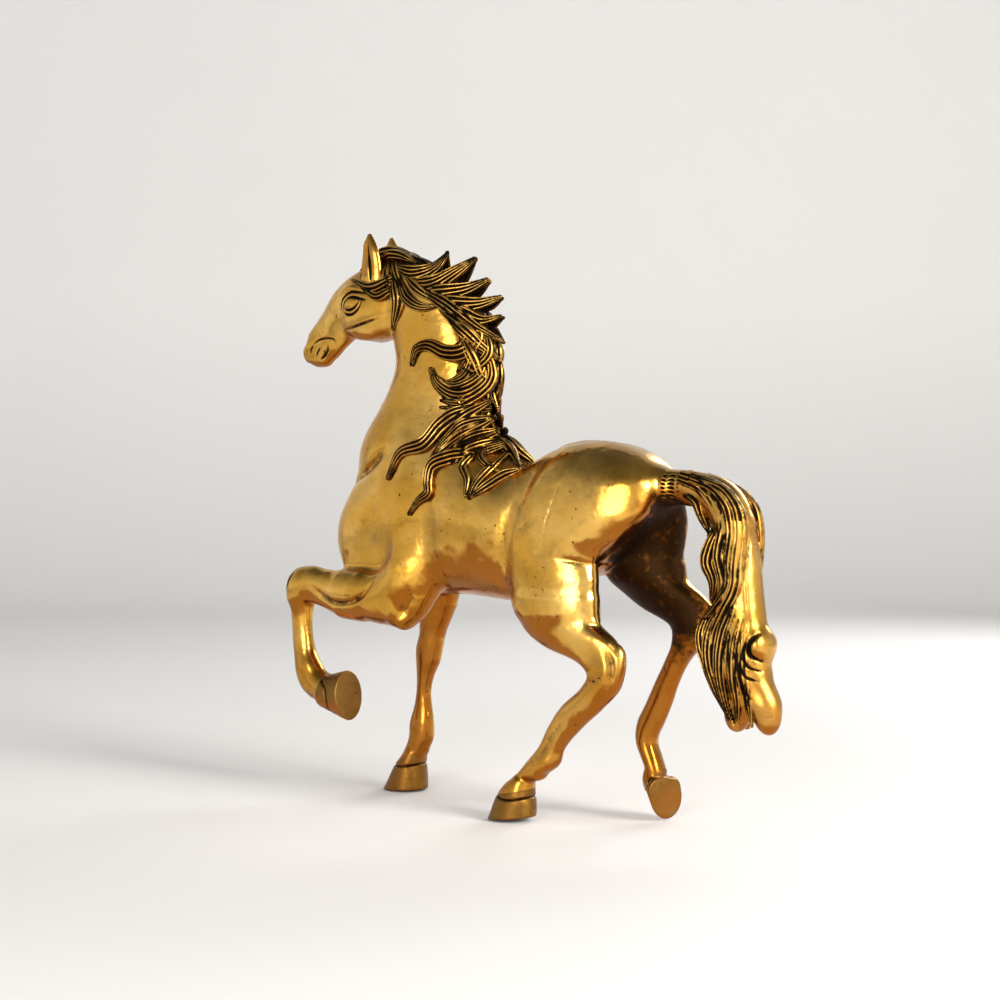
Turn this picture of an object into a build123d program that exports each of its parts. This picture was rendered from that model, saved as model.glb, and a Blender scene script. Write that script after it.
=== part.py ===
from build123d import *
import math
import os

# Prancing horse statuette: hollow and solid brass castings, butted on flat faces, located by
# cast-on spigots and brazed into one rigid object.
#
# Frame: millimetres, +Z up. The horse faces -X and its left (near) side faces -Y. The origin is
# on the resting surface, under the middle of the overall box. Three toes touch that surface.

# Driving dimensions
WALL = 4.0                  # wall of the hollow body and neck castings
HAIR_THICKNESS = 3.5        # how far the mane stands out from the neck and shoulder
CREST_THICKNESS = 8.0       # width of the standing comb of mane along the crest
NECK_JOINT_Z = 170.0        # level face between body and neck
FORE_NEAR_JOINT_X = -98.0   # upright face across the raised forearm
FORE_FAR_JOINT_Z = 101.0    # level face at the top of the standing foreleg
HIND_NEAR_JOINT_Z = 102.5   # level face at the top of the near gaskin
HIND_FAR_JOINT_Z = 118.0    # level face at the top of the far gaskin
DOCK_JOINT_X = 88.0         # upright face at the root of the tail
HAIR_JOINT_X = 99.0         # upright face where the tail hair starts
FORE_Y = 19.0               # forelegs to each side of the middle plane
HIND_Y = 20.0               # hind legs to each side of the middle plane
FAR_HIND_TURN = 14.5        # degrees that the far hind hoof's sole is turned outward
LEG_SPIGOT = 5.5            # spigot radius where a leg enters the body
HOOF_SPIGOT = 3.0           # spigot radius where a leg enters its hoof
SMALL_SPIGOT = 4.0          # spigot radius at the dock, the tail hair and the head
SPIGOT_LENGTH = 9.0
HOOF_SPIGOT_LENGTH = 5.0

ACROSS = Vector(0, 1, 0)


def section(first, second, y, half_width):
    """Oval section: its long axis joins two points (x, z) of the side profile."""
    middle = Vector((first[0] + second[0]) / 2, y, (first[1] + second[1]) / 2)
    reach = Vector(first[0] - second[0], 0, first[1] - second[1]) / 2
    points = []
    for eighth in range(8):
        angle = math.radians(45 * eighth)
        points.append(middle + ACROSS * (half_width * math.cos(angle)) + reach * math.sin(angle))
    return Wire(Spline(*points, periodic=True))


def level(z, front, back, y, half_width):
    """Level section of an upright casting."""
    return section((back, z), (front, z), y, half_width)


def upright(x, top, bottom, y, half_width):
    """Upright section of a casting that runs along the horse."""
    return section((x, top), (x, bottom), y, half_width)


def spigot(x, y, z, direction, radius, length):
    """Cylinder that starts on a joint face and runs into the piece that holds it."""
    start = Plane(origin=(x, y, z), z_dir=direction)
    return Solid.make_cylinder(radius, length, start)


def slab(low, high):
    """Box between two corners."""
    size = [top - bottom for bottom, top in zip(low, high)]
    return Pos(*low) * Box(*size, align=(Align.MIN, Align.MIN, Align.MIN))


def profile_plate(outline, low_y, high_y):
    """Plate whose side view is a polygon of (x, z) points."""
    corners = [Vector(x, low_y, z) for x, z in outline]
    face = Face(Wire.make_polygon(corners, close=True))
    return Solid.extrude(face, Vector(0, high_y - low_y, 0))


def one_solid(shape):
    """The largest solid of a boolean result, without trimmed crumbs."""
    return max(shape.solids(), key=lambda solid: solid.volume)


# Trunk: x, top, bottom, half width
TRUNK = [
    (-107, 152, 122, 11),
    (-99, 165, 112, 18),
    (-84, 176, 107, 23),
    (-60, 182, 105.5, 26),
    (-32, 184, 107.5, 28),
    (-10, 179, 106, 29.5),
    (8, 174, 105, 29),
    (30, 183, 111, 28.5),
    (50, 184.5, 121, 28),
    (68, 180.5, 134, 25),
    (80, 174, 146, 18),
]
CHEST_POINT = (-110, 0, 138)
RUMP_POINT = (87, 0, 161)

# Neck above its joint: z, throat side, crest side, half width
NECK = [
    (NECK_JOINT_Z, -100, 0, 21.5),
    (184, -98, -16, 19.5),
    (192, -94, -21.5, 17.5),
    (204, -85.5, -24.5, 14.5),
    (218, -78, -25.5, 12.5),
    (228, -75.5, -28, 11.5),
]
THROAT_BEND = ((-38, 258), (-77, 233), 11)
POLL_FACE = ((-62, 284), (-79, 237), 10.5)

# Head from the poll to the lips: point on the nose line, point on the jaw line, half width
HEAD = [
    (POLL_FACE[0], POLL_FACE[1], POLL_FACE[2]),
    ((-84, 282.5), (-86, 240), 12),
    ((-102.5, 277.5), (-96.5, 242), 11.5),
    ((-115.5, 270.5), (-108, 242.5), 9),
    ((-127, 258.5), (-116, 238), 7),
    ((-135.5, 250), (-121, 232.5), 7.5),
    ((-141.5, 243.5), (-127, 229), 7),
    ((-144.3, 238.5), (-133.5, 229.3), 4.5),
]

# Leg masses that are cast on the body, each ending in its joint face
NEAR_HAUNCH = [
    (HIND_NEAR_JOINT_Z, 13.7, 59.3, 19.4, 11.8),
    (116, 9.5, 59, 19, 12.8),
    (130, 7.5, 60.5, 18, 13.5),
    (138, 8.5, 71, 17, 14),
    (148, 13, 82, 15, 14.5),
    (160, 24, 85, 11, 14),
]
FAR_HAUNCH = [
    (HIND_FAR_JOINT_Z, 44, 85, 18, 12),
    (128, 39, 83.5, 18, 13),
    (137, 39, 85.5, 17, 14),
    (148, 43, 87, 15, 14.5),
    (160, 48, 84, 11, 14),
]
NEAR_SHOULDER = [
    (-32, 150, 118, 14, 11),
    (-50, 142, 94, 17, 12),
    (-59, 131, 91, 18, 12),
    (-68, 121.5, 91.5, 19, 11.5),
    (-82, 119, 93, 19, 9.5),
    (FORE_NEAR_JOINT_X, 118.5, 94.5, 19, 8.5),
]
FAR_SHOULDER = [
    (FORE_FAR_JOINT_Z, -80, -55, 19, 8.6),
    (112, -82, -51, 18, 10.5),
    (124, -85, -45, 16, 12),
    (140, -85, -45, 12, 12),
]
DOCK_STUB = [(72, 172, 151, 0, 11), (DOCK_JOINT_X, 170, 153, 0, 7.5)]

# Legs below their joints
# Raised foreleg, as pairs of points on its outer and inner side, and half widths: along the
# forearm, round the knee, down the cannon and round the fetlock to the coronet. It is lofted in
# runs, short ones round the knee, because it turns through more than half a circle.
NEAR_FORELEG = [
    ((FORE_NEAR_JOINT_X, 118.5), (FORE_NEAR_JOINT_X, 94.5), 8.5),
    ((-111, 119.5), (-110, 98.5), 7.6),
    ((-124, 120.5), (-115.5, 100), 8.2),
    ((-133, 117.5), (-118, 99.5), 8.8),
    ((-136, 109), (-119.5, 98.5), 8.3),
    ((-134, 100), (-121.5, 96.5), 6.5),
    ((-133.5, 91), (-122, 90.5), 5.3),
    ((-133, 81), (-121, 82), 5.1),
    ((-131.5, 71.5), (-119, 74.5), 5.9),
    ((-130, 63), (-116, 70), 6.8),
    ((-126, 55), (-113.5, 66.5), 6.8),
    ((-120, 50), (-111.5, 64.5), 6.8),
]
NEAR_FORELEG_RUNS = [(0, 3), (3, 4), (4, 5), (5, 6), (6, 7), (7, 12)]
NEAR_FORE_CORONET = ((-108.5, 63), (-113, 46), 8)
NEAR_FORE_SOLE = ((-99.5, 64.3), (-97.5, 41.4), 10.2)

FAR_FORELEG = [
    (FORE_FAR_JOINT_Z, -80, -55, 19, 8.6),
    (95, -77.5, -56.5, 19, 7.6),
    (86, -76.3, -61, 19, 6.7),
    (76, -79, -63.5, 19, 6.6),
    (70, -79, -65, 19, 6),
    (63, -78.7, -68.5, 19, 4.9),
    (54, -79, -71, 19, 4.1),
    (46, -80.5, -70.3, 19, 4.4),
    (36, -83.5, -69.2, 19, 5.9),
    (28, -84, -69.8, 19, 6.2),
]
FAR_FORE_CORONET = ((-74.5, 22), (-91, 14), 8.5)
FAR_FORE_SOLE = ((-74.2, 3.8), (-99.4, -0.9), 11.6)

NEAR_HINDLEG = [
    (HIND_NEAR_JOINT_Z, 13.7, 59.3, 19.4, 11.8),
    (97, 16.5, 61.8, 19.7, 10.7),
    (90.5, 22, 70.5, 20, 9.5),
    (85, 31.5, 75, 20, 8.2),
    (80, 47, 75.5, 20, 7.7),
    (74, 55, 74.5, 20, 7.5),
    (67, 51.5, 72, 20, 7.3),
    (58, 40.7, 63.5, 20, 6.4),
    (47, 32.5, 50.7, 20, 5.5),
    (37, 27, 41.3, 20, 5.3),
    (28, 19, 37, 20, 6.7),
]
NEAR_HIND_CORONET = ((25.5, 17), (6.5, 13), 8)
NEAR_HIND_SOLE = ((23, 7), (-1.6, -1.2), 11)

FAR_HINDLEG = [
    (HIND_FAR_JOINT_Z, 44, 85, 18, 12),
    (110, 51.5, 94.5, 19, 10.3),
    (103, 61, 100.5, 20, 8.6),
    (96, 75.5, 102, 20, 7.5),
    (88, 77.7, 96, 20, 7),
    (79, 74.3, 87.2, 20, 6),
    (68, 68.5, 81, 20, 5.3),
    (56, 62.5, 76.5, 20, 5.3),
    (47, 58, 72.3, 20, 5.8),
    (39, 57, 68, 20, 6.5),
]
FAR_HIND_PASTERN = [((71, 33.5), (57.5, 31), 6.4), ((72, 28.5), (58, 20.5), 7)]
FAR_HIND_CORONET = ((71.5, 24.5), (60, 10.5), 7.8)
FAR_HIND_SOLE = ((74.4, 21.2), (72.2, -1.4), 11)

# Tail from the dock to the tips
TAIL_BEND = [
    ((HAIR_JOINT_X, 169.5), (HAIR_JOINT_X, 153), 7.2),
    ((114.5, 168), (106, 149.5), 9),
    ((126, 159), (109.5, 144), 10),
]
TAIL_FALL = [
    (138, 109, 133, 0, 10.5),
    (127, 107.5, 135.5, 0, 12),
    (114, 109.5, 136.5, 0, 12),
    (100, 105.5, 138, 0, 14),
    (86, 107, 141.5, 0, 13.5),
    (72, 109.5, 142.5, 0, 11.5),
    (60, 116, 145.4, 0, 8.5),
    (50, 125, 141.5, 0, 5.5),
]
TAIL_TIP = (134, 0, 44.5)

# Ears: base front, base back, middle, tip, as (x, z), and how far out they stand
EAR_BASE = (266, -97, -80.5, 7.5, 4)
EAR_MIDDLE = (281, -96, -81.5, 8.5, 3.6)
EAR_UPPER = (289, -93.8, -84, 9, 2.4)
EAR_TIP = (-89, 9, 295.8)

# Comb of mane along the crest: points between the tips and the valleys of its locks, then back
# inside the neck
CREST_COMB = [
    (-77, 285.5), (-60, 283), (-46, 282), (-45.5, 274), (-29, 277), (-36, 268),
    (-21, 266), (-27, 260), (-13, 257.5), (-20.5, 252), (-12.5, 247), (-20.5, 243.5),
    (-11, 235), (-19, 232), (-13.5, 226), (-23.5, 223.5), (-17, 214), (-22.5, 209.5), (-23, 201),
    (-32, 200), (-36, 228), (-44, 250), (-64, 272), (-76, 279),
]
# Side locks of the mane: front edge of their falls, then back over the crest
NEAR_LOCKS = [
    (-83, 277), (-88, 262), (-86, 251), (-78, 262), (-62, 266), (-46, 258), (-41, 250),
    (-66, 246), (-73, 235), (-52, 236), (-41, 240), (-38, 228), (-56, 226), (-58, 216),
    (-36, 208), (-20, 203), (-8, 206), (-6, 236), (-16, 262), (-36, 280), (-66, 290),
]
FAR_LOCKS = [
    (-80, 277), (-86, 258), (-74, 250), (-64, 256), (-58, 240), (-66, 228), (-46, 230),
    (-48, 212), (-36, 206), (-20, 203), (-8, 206), (-6, 236), (-16, 262), (-36, 280), (-66, 290),
]
WITHERS_LOCKS = [
    (-36, 203), (-50, 195), (-76, 174), (-82, 160), (-66, 168), (-62, 166), (-66, 141),
    (-50, 158), (-46, 168), (-34, 152), (-30, 168), (-12, 176), (0, 184), (-14, 203),
]


def mirrored(rows):
    """The same sections on the near side, where Y is negative."""
    return [row[:-2] + (-row[-2], row[-1]) for row in rows]


def loft_level(rows, start=None, end=None):
    wires = [level(z, front, back, y, half_width) for z, front, back, y, half_width in rows]
    return closed_loft(wires, start, end)


def loft_upright(rows, start=None, end=None):
    wires = [upright(x, top, bottom, y, half_width) for x, top, bottom, y, half_width in rows]
    return closed_loft(wires, start, end)


def closed_loft(wires, start=None, end=None, ruled=False):
    """Loft through sections that turn by less than a right angle, closed to a point at an end
    that has one."""
    chain = list(wires)
    if start is not None:
        chain.insert(0, Vertex(*start))
    if end is not None:
        chain.append(Vertex(*end))
    loft_solid = Solid.make_loft(chain, ruled=ruled)
    if loft_solid.volume < 0:
        loft_solid = Solid.make_loft(chain[::-1], ruled=ruled)
    return loft_solid


def make_trunk(inset=0.0):
    """The barrel, from the chest to the rump; inset gives the cavity."""
    rows = []
    for x, top, bottom, half_width in TRUNK:
        rows.append((x, top - inset, bottom + inset, 0, half_width - inset))
    if inset > 0:
        return loft_upright(rows[1:-1])
    return loft_upright(rows, start=CHEST_POINT, end=RUMP_POINT)


def make_neck_outer(swell=0.0):
    """The neck from its joint with the body to its joint with the head."""
    wires = [level(z, front, back, 0, half + swell) for z, front, back, half in NECK]
    for upper, lower, half in (THROAT_BEND, POLL_FACE):
        wires.append(section(upper, lower, 0, half + swell))
    return closed_loft(wires)


def make_neck_cavity():
    rows = [(z, front + WALL, back - WALL, 0, half - WALL) for z, front, back, half in NECK]
    return loft_level(rows)


def make_neck_root():
    """The part of the neck that is cast on the body, under the neck's joint face."""
    joint_z, front, back, half = NECK[0]
    rows = [(145, front + 2, back - 14, 0, 21), (158, front, back - 6, 0, 22)]
    rows.append((joint_z, front, back, 0, half))
    return loft_level(rows)


def make_head():
    wires = [section(upper, lower, 0, half) for upper, lower, half in HEAD]
    return closed_loft(wires)


def make_ear(side):
    rows = []
    for z, front, back, y, half in (EAR_BASE, EAR_MIDDLE, EAR_UPPER):
        rows.append((z, front, back, side * y, half))
    x, y, z = EAR_TIP
    return loft_level(rows, end=(x, side * y, z))


def make_forelock():
    """Tuft between the ears, falling on the forehead."""
    wires = [
        section((-76, 289), (-76, 270), 0, 4.5),
        section((-88, 286.5), (-88, 270), 0, 6),
        section((-99, 281.5), (-97, 268), 0, 5),
        section((-106, 277), (-103, 268), 0, 3),
    ]
    return closed_loft(wires)


def make_hoof(coronet, sole, y, turn=0.0):
    """Hoof from its coronet face to its sole, trimmed where it meets the resting surface."""
    sole_wire = section(sole[0], sole[1], y, sole[2])
    if turn != 0.0:
        middle_x = (sole[0][0] + sole[1][0]) / 2
        axis = Axis((middle_x, y, 0), (0, 0, 1))
        sole_wire = sole_wire.rotate(axis, turn)
    coronet_wire = section(coronet[0], coronet[1], y, coronet[2])
    hoof = closed_loft([coronet_wire, sole_wire])
    return hoof & slab((-200, -60, 0), (200, 60, 100))


def hoof_spigot(coronet, y):
    """Spigot on the leg's end that fills the hoof's socket."""
    middle_x = (coronet[0][0] + coronet[1][0]) / 2
    middle_z = (coronet[0][1] + coronet[1][1]) / 2
    along = Vector(coronet[0][0] - coronet[1][0], 0, coronet[0][1] - coronet[1][1])
    into_hoof = along.cross(ACROSS) * -1
    return spigot(middle_x, y, middle_z, into_hoof, HOOF_SPIGOT, HOOF_SPIGOT_LENGTH)


def make_near_foreleg():
    """Raised foreleg: forearm, knee, cannon, fetlock and pastern in one casting."""
    heel, toe, half_width = NEAR_FORE_CORONET
    wires = [section(outer, inner, -FORE_Y, half) for outer, inner, half in NEAR_FORELEG]
    wires.append(section(toe, heel, -FORE_Y, half_width))
    joint_z = (NEAR_FORELEG[0][0][1] + NEAR_FORELEG[0][1][1]) / 2
    root = spigot(FORE_NEAR_JOINT_X, -FORE_Y, joint_z, (1, 0, 0), LEG_SPIGOT, SPIGOT_LENGTH)
    runs = [closed_loft(wires[start:end + 1]) for start, end in NEAR_FORELEG_RUNS]
    leg = runs[0]
    for run in runs[1:]:
        leg = leg + run
    leg = leg - make_trunk() + root + hoof_spigot(NEAR_FORE_CORONET, -FORE_Y)
    return leg, root


def make_standing_leg(rows, ankle, side, joint_y, leg_y):
    """Leg lofted from its joint face down to its coronet, with a spigot at both ends."""
    if side < 0:
        rows = mirrored(rows)
    wires = [level(z, front, back, y, half_width) for z, front, back, y, half_width in rows]
    for upper, lower, half_width in ankle:
        wires.append(section(upper, lower, side * leg_y, half_width))
    joint_z, front, back = rows[0][:3]
    middle = (front + back) / 2
    root = spigot(middle, side * joint_y, joint_z, (0, 0, 1), LEG_SPIGOT, SPIGOT_LENGTH)
    sharp_ankle = len(ankle) > 1
    leg = closed_loft(wires, ruled=sharp_ankle) - make_trunk()
    leg = leg + root + hoof_spigot(ankle[-1], side * leg_y)
    return leg, root


def make_tail():
    """Dock and hair, butted on an upright face, each with a spigot towards the body."""
    joint_z = (DOCK_STUB[1][1] + DOCK_STUB[1][2]) / 2
    dock_rows = [DOCK_STUB[1], (HAIR_JOINT_X, 169.5, 153, 0, 7.2)]
    dock_root = spigot(DOCK_JOINT_X, 0, joint_z, (-1, 0, 0), SMALL_SPIGOT, SPIGOT_LENGTH)
    hair_root = spigot(HAIR_JOINT_X, 0, joint_z, (-1, 0, 0), SMALL_SPIGOT, HOOF_SPIGOT_LENGTH)
    dock = loft_upright(dock_rows) + dock_root - hair_root
    wires = [section(upper, lower, 0, half) for upper, lower, half in TAIL_BEND]
    for z, front, back, y, half_width in TAIL_FALL:
        wires.append(section((back, z), (front, z), y, half_width))
    hair = closed_loft(wires, end=TAIL_TIP) + hair_root
    return dock, hair, dock_root


def make_body_form():
    """Outer form of the trunk with the roots of the neck, legs and tail, before hollowing."""
    form = make_trunk()
    form = form + make_neck_root()
    form = form + loft_level(mirrored(NEAR_HAUNCH))
    form = form + loft_level(FAR_HAUNCH)
    form = form + loft_upright(mirrored(NEAR_SHOULDER))
    form = form + loft_level(FAR_SHOULDER)
    form = form + loft_upright(DOCK_STUB)
    below_neck = slab((-200, -60, 0), (DOCK_JOINT_X, 60, NECK_JOINT_Z))
    behind_neck = slab((NECK[0][2] + 2, -60, NECK_JOINT_Z), (DOCK_JOINT_X, 60, 250))
    return (form & below_neck) + (form & behind_neck)


def make_body(form, sockets, collar):
    """Hollow body, cast as two halves that meet on the middle plane."""
    body = form - make_trunk(inset=WALL) + collar
    for socket in sockets:
        body = body - socket
    near_half = one_solid(body & slab((-200, -60, 0), (200, 0, 250)))
    far_half = one_solid(body & slab((-200, 0, 0), (200, 60, 250)))
    return near_half, far_half


def make_swollen_base():
    """Base of the neck and the shoulders, swollen by the thickness of the hair on them."""
    base = loft_level([
        (140, -98, -16, 0, 26 + HAIR_THICKNESS),
        (158, -100, -6, 0, 22.5 + HAIR_THICKNESS),
        (NECK_JOINT_Z, -100, 0, 0, 21.5 + HAIR_THICKNESS),
        (184, -98, -12, 0, 19.5 + HAIR_THICKNESS),
        (204, -86, -20, 0, 14.5 + HAIR_THICKNESS),
    ])
    return base + make_trunk(inset=-HAIR_THICKNESS)


def hair_skin(swollen, outline, low_y, high_y, under):
    """Layer of hair on one side: the swollen form inside an outline, less what lies under it."""
    layer = swollen & profile_plate(outline, low_y, high_y)
    for form in under:
        layer = layer - form
    return one_solid(layer)


def make_all():
    near_foreleg, near_fore_root = make_near_foreleg()
    far_foreleg, far_fore_root = make_standing_leg(
        FAR_FORELEG, [FAR_FORE_CORONET], 1, FORE_Y, FORE_Y)
    near_hindleg, near_hind_root = make_standing_leg(
        NEAR_HINDLEG, [NEAR_HIND_CORONET], -1, FORE_Y, HIND_Y)
    far_hindleg, far_hind_root = make_standing_leg(
        FAR_HINDLEG, FAR_HIND_PASTERN + [FAR_HIND_CORONET], 1, FORE_Y - 1, HIND_Y)
    tail_dock, tail_hair, dock_root = make_tail()

    neck_cavity = make_neck_cavity()
    collar = neck_cavity & slab((-200, -60, NECK_JOINT_Z), (200, 60, NECK_JOINT_Z + WALL))
    roots = [near_fore_root, far_fore_root, near_hind_root, far_hind_root, dock_root]
    body_form = make_body_form()
    body_near, body_far = make_body(body_form, roots, collar)

    poll_middle_x = (POLL_FACE[0][0] + POLL_FACE[1][0]) / 2
    poll_middle_z = (POLL_FACE[0][1] + POLL_FACE[1][1]) / 2
    poll_reach = Vector(POLL_FACE[0][0] - POLL_FACE[1][0], 0, POLL_FACE[0][1] - POLL_FACE[1][1])
    into_neck = poll_reach.cross(ACROSS) * -1
    head_root = spigot(poll_middle_x, 0, poll_middle_z, into_neck, SMALL_SPIGOT, SPIGOT_LENGTH)
    neck_form = make_neck_outer()
    neck = neck_form - neck_cavity - head_root
    head = make_head() + head_root

    near_ear = one_solid(make_ear(-1) - head)
    far_ear = one_solid(make_ear(1) - head)
    forelock = one_solid(make_forelock() - head - near_ear - far_ear - neck_form)

    under_hair = [neck_form, body_form, head, near_ear, far_ear, forelock]
    crest = profile_plate(CREST_COMB, -CREST_THICKNESS / 2, CREST_THICKNESS / 2)
    for form in under_hair:
        crest = crest - form
    crest = one_solid(crest)
    under_hair.append(crest)

    swollen_neck = make_neck_outer(swell=HAIR_THICKNESS)
    near_locks = hair_skin(swollen_neck, NEAR_LOCKS, -60, 0, under_hair)
    far_locks = hair_skin(swollen_neck, FAR_LOCKS, 0, 60, under_hair)
    under_hair.append(near_locks)
    withers = hair_skin(make_swollen_base(), WITHERS_LOCKS, -60, 0, under_hair)

    return {
        "body_near_half": body_near,
        "body_far_half": body_far,
        "neck": neck,
        "head": head,
        "near_ear": near_ear,
        "far_ear": far_ear,
        "forelock": forelock,
        "crest_mane": crest,
        "near_mane_locks": near_locks,
        "far_mane_locks": far_locks,
        "withers_mane": withers,
        "near_foreleg": near_foreleg,
        "near_fore_hoof": make_hoof(NEAR_FORE_CORONET, NEAR_FORE_SOLE, -FORE_Y)
        - hoof_spigot(NEAR_FORE_CORONET, -FORE_Y),
        "far_foreleg": far_foreleg,
        "far_fore_hoof": make_hoof(FAR_FORE_CORONET, FAR_FORE_SOLE, FORE_Y)
        - hoof_spigot(FAR_FORE_CORONET, FORE_Y),
        "near_hindleg": near_hindleg,
        "near_hind_hoof": make_hoof(NEAR_HIND_CORONET, NEAR_HIND_SOLE, -HIND_Y)
        - hoof_spigot(NEAR_HIND_CORONET, -HIND_Y),
        "far_hindleg": far_hindleg,
        "far_hind_hoof": make_hoof(FAR_HIND_CORONET, FAR_HIND_SOLE, HIND_Y, FAR_HIND_TURN)
        - hoof_spigot(FAR_HIND_CORONET, HIND_Y),
        "tail_dock": tail_dock,
        "tail_hair": tail_hair,
    }


os.makedirs("parts", exist_ok=True)
for name, piece in make_all().items():
    export_step(one_solid(piece), os.path.join("parts", name + ".step"))
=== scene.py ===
import math

import bmesh
import bpy
import numpy as np
import openvdb
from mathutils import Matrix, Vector


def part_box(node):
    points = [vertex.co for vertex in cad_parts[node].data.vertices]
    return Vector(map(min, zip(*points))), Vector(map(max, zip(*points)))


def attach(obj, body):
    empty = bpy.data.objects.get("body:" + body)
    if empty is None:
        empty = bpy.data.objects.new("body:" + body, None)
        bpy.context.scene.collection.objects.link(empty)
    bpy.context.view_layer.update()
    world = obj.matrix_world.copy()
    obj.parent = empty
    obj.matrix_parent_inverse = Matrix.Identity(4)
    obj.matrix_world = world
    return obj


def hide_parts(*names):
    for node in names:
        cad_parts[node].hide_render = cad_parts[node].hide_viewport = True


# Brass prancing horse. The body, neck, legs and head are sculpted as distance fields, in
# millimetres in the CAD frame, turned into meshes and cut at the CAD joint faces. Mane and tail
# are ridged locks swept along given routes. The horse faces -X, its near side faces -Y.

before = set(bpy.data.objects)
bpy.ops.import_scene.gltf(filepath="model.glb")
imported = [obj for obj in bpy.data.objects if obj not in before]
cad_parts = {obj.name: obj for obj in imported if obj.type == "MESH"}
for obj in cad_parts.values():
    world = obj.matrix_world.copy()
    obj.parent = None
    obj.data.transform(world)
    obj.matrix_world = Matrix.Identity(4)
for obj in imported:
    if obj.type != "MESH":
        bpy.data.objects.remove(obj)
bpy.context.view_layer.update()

MM = 0.001
NEAR = -1
FAR = 1
SPIGOT = 9.0            # cast-on spigots stand this far out of the CAD joint faces
COARSE = 0.75    # grid pitch of the body
FINE = 0.35      # grid pitch of the head and the forelock
HAIR_PITCH = FINE + 0.05
FOOT_PITCH = FINE + 0.07
TAIL_PITCH = FINE + 0.12
EAR_PITCH = 0.3
SMOOTHING = 0.02        # how far flat stretches may be simplified


def mm_box(node):
    low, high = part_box(node)
    return np.array(low) / MM, np.array(high) / MM


NECK_Z = mm_box("neck")[0][2]
NECK_BACK_X = mm_box("neck")[1][0] + 2
NEAR_FORE_X = mm_box("near_foreleg")[1][0] - SPIGOT
FAR_FORE_Z = mm_box("far_foreleg")[1][2] - SPIGOT
NEAR_HIND_Z = mm_box("near_hindleg")[1][2] - SPIGOT
FAR_HIND_Z = mm_box("far_hindleg")[1][2] - SPIGOT
DOCK_X = mm_box("tail_dock")[0][0] + SPIGOT
HAIR_X = mm_box("tail_dock")[1][0]


# ---------------------------------------------------------------- curves

def curve_through(knots, values, at):
    """Smooth curve (cubic Hermite) through rows of values, read at the given parameters."""
    knots = np.asarray(knots, float)
    values = np.asarray(values, float).reshape(len(knots), -1)
    gaps = np.diff(knots)[:, None]
    slopes = np.diff(values, axis=0) / gaps
    tangents = np.empty_like(values)
    tangents[0] = slopes[0]
    tangents[-1] = slopes[-1]
    tangents[1:-1] = (slopes[:-1] * gaps[1:] + slopes[1:] * gaps[:-1]) / (gaps[:-1] + gaps[1:])
    at = np.clip(np.asarray(at, float), knots[0], knots[-1])
    span = np.clip(np.searchsorted(knots, at, side="right") - 1, 0, len(knots) - 2)
    length = gaps[span]
    u = ((at - knots[span]) / gaps[span, 0])[:, None]
    start, end = values[span], values[span + 1]
    out = (1 + 2 * u) * (1 - u) ** 2 * start + u ** 2 * (3 - 2 * u) * end
    out += (u * (1 - u) ** 2 * tangents[span] - u ** 2 * (1 - u) * tangents[span + 1]) * length
    return out


def resample(rows, count, place_columns):
    """Rows resampled evenly along the line that their first columns draw."""
    rows = np.asarray(rows, float)
    steps = np.linalg.norm(np.diff(rows[:, :place_columns], axis=0), axis=1)
    knots = np.concatenate([[0], np.cumsum(steps)])
    return curve_through(knots, rows, np.linspace(0, knots[-1], count))


def nearest_on(line, px, pz):
    """For each (x, z): its squared distance from a line of points, and the nearest place along
    the line, counted in points."""
    best = np.full(px.shape, np.inf)
    place = np.zeros(px.shape)
    for index in range(len(line) - 1):
        start, end = line[index], line[index + 1]
        step = end - start
        u = ((px - start[0]) * step[0] + (pz - start[1]) * step[1]) / max(step @ step, 1e-9)
        u = np.clip(u, 0, 1)
        gap = (px - start[0] - u * step[0]) ** 2 + (pz - start[1] - u * step[1]) ** 2
        closer = gap < best
        best = np.where(closer, gap, best)
        place = np.where(closer, index + u, place)
    return best, place


def melt(first, second, blend):
    """The smaller of two distances, with a fillet where they are nearly the same."""
    overlap = np.maximum(blend - np.abs(first - second), 0) / blend
    return np.minimum(first, second) - overlap ** 2 * blend / 4


# ---------------------------------------------------------------- forms

class Stack:
    """Ovals stacked along X or Z: rows are (place, one edge, other edge, y, half width)."""

    def __init__(self, axis, rows, caps=(6, 6), egg=0.0):
        self.axis = axis
        self.rows = np.array(sorted(rows), float)
        self.caps = caps
        self.egg = egg

    def reach(self, margin):
        place = self.rows[:, 0]
        edges = self.rows[:, 1:3]
        low = [edges.min(), (self.rows[:, 3] - self.rows[:, 4]).min(), place[0] - self.caps[0]]
        high = [edges.max(), (self.rows[:, 3] + self.rows[:, 4]).max(), place[-1] + self.caps[1]]
        if self.axis == "x":
            low = [low[2], low[1], low[0]]
            high = [high[2], high[1], high[0]]
        return np.array(low) - margin, np.array(high) + margin

    def measure(self, xs, ys, zs):
        places, others = (xs, zs) if self.axis == "x" else (zs, xs)
        row = curve_through(self.rows[:, 0], self.rows[:, 1:], places)
        centre = (row[:, 0] + row[:, 1]) / 2
        radius = np.abs(row[:, 1] - row[:, 0]) / 2
        below = np.maximum(self.rows[0, 0] - places, 0) / self.caps[0]
        above = np.maximum(places - self.rows[-1, 0], 0) / self.caps[1]
        along = (others[None, :] - centre[:, None]) / radius[:, None]
        width = row[:, 3, None] * (1 - self.egg * np.clip(along, -1.2, 1.2))
        across = (ys[None, None, :] - row[:, 2, None, None]) / width[:, :, None]
        total = along[:, :, None] ** 2 + across ** 2 + (below + above)[:, None, None] ** 2
        value = np.sqrt(total)
        if self.axis == "x":
            return value.transpose(0, 2, 1)
        return value.transpose(1, 2, 0)


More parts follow.
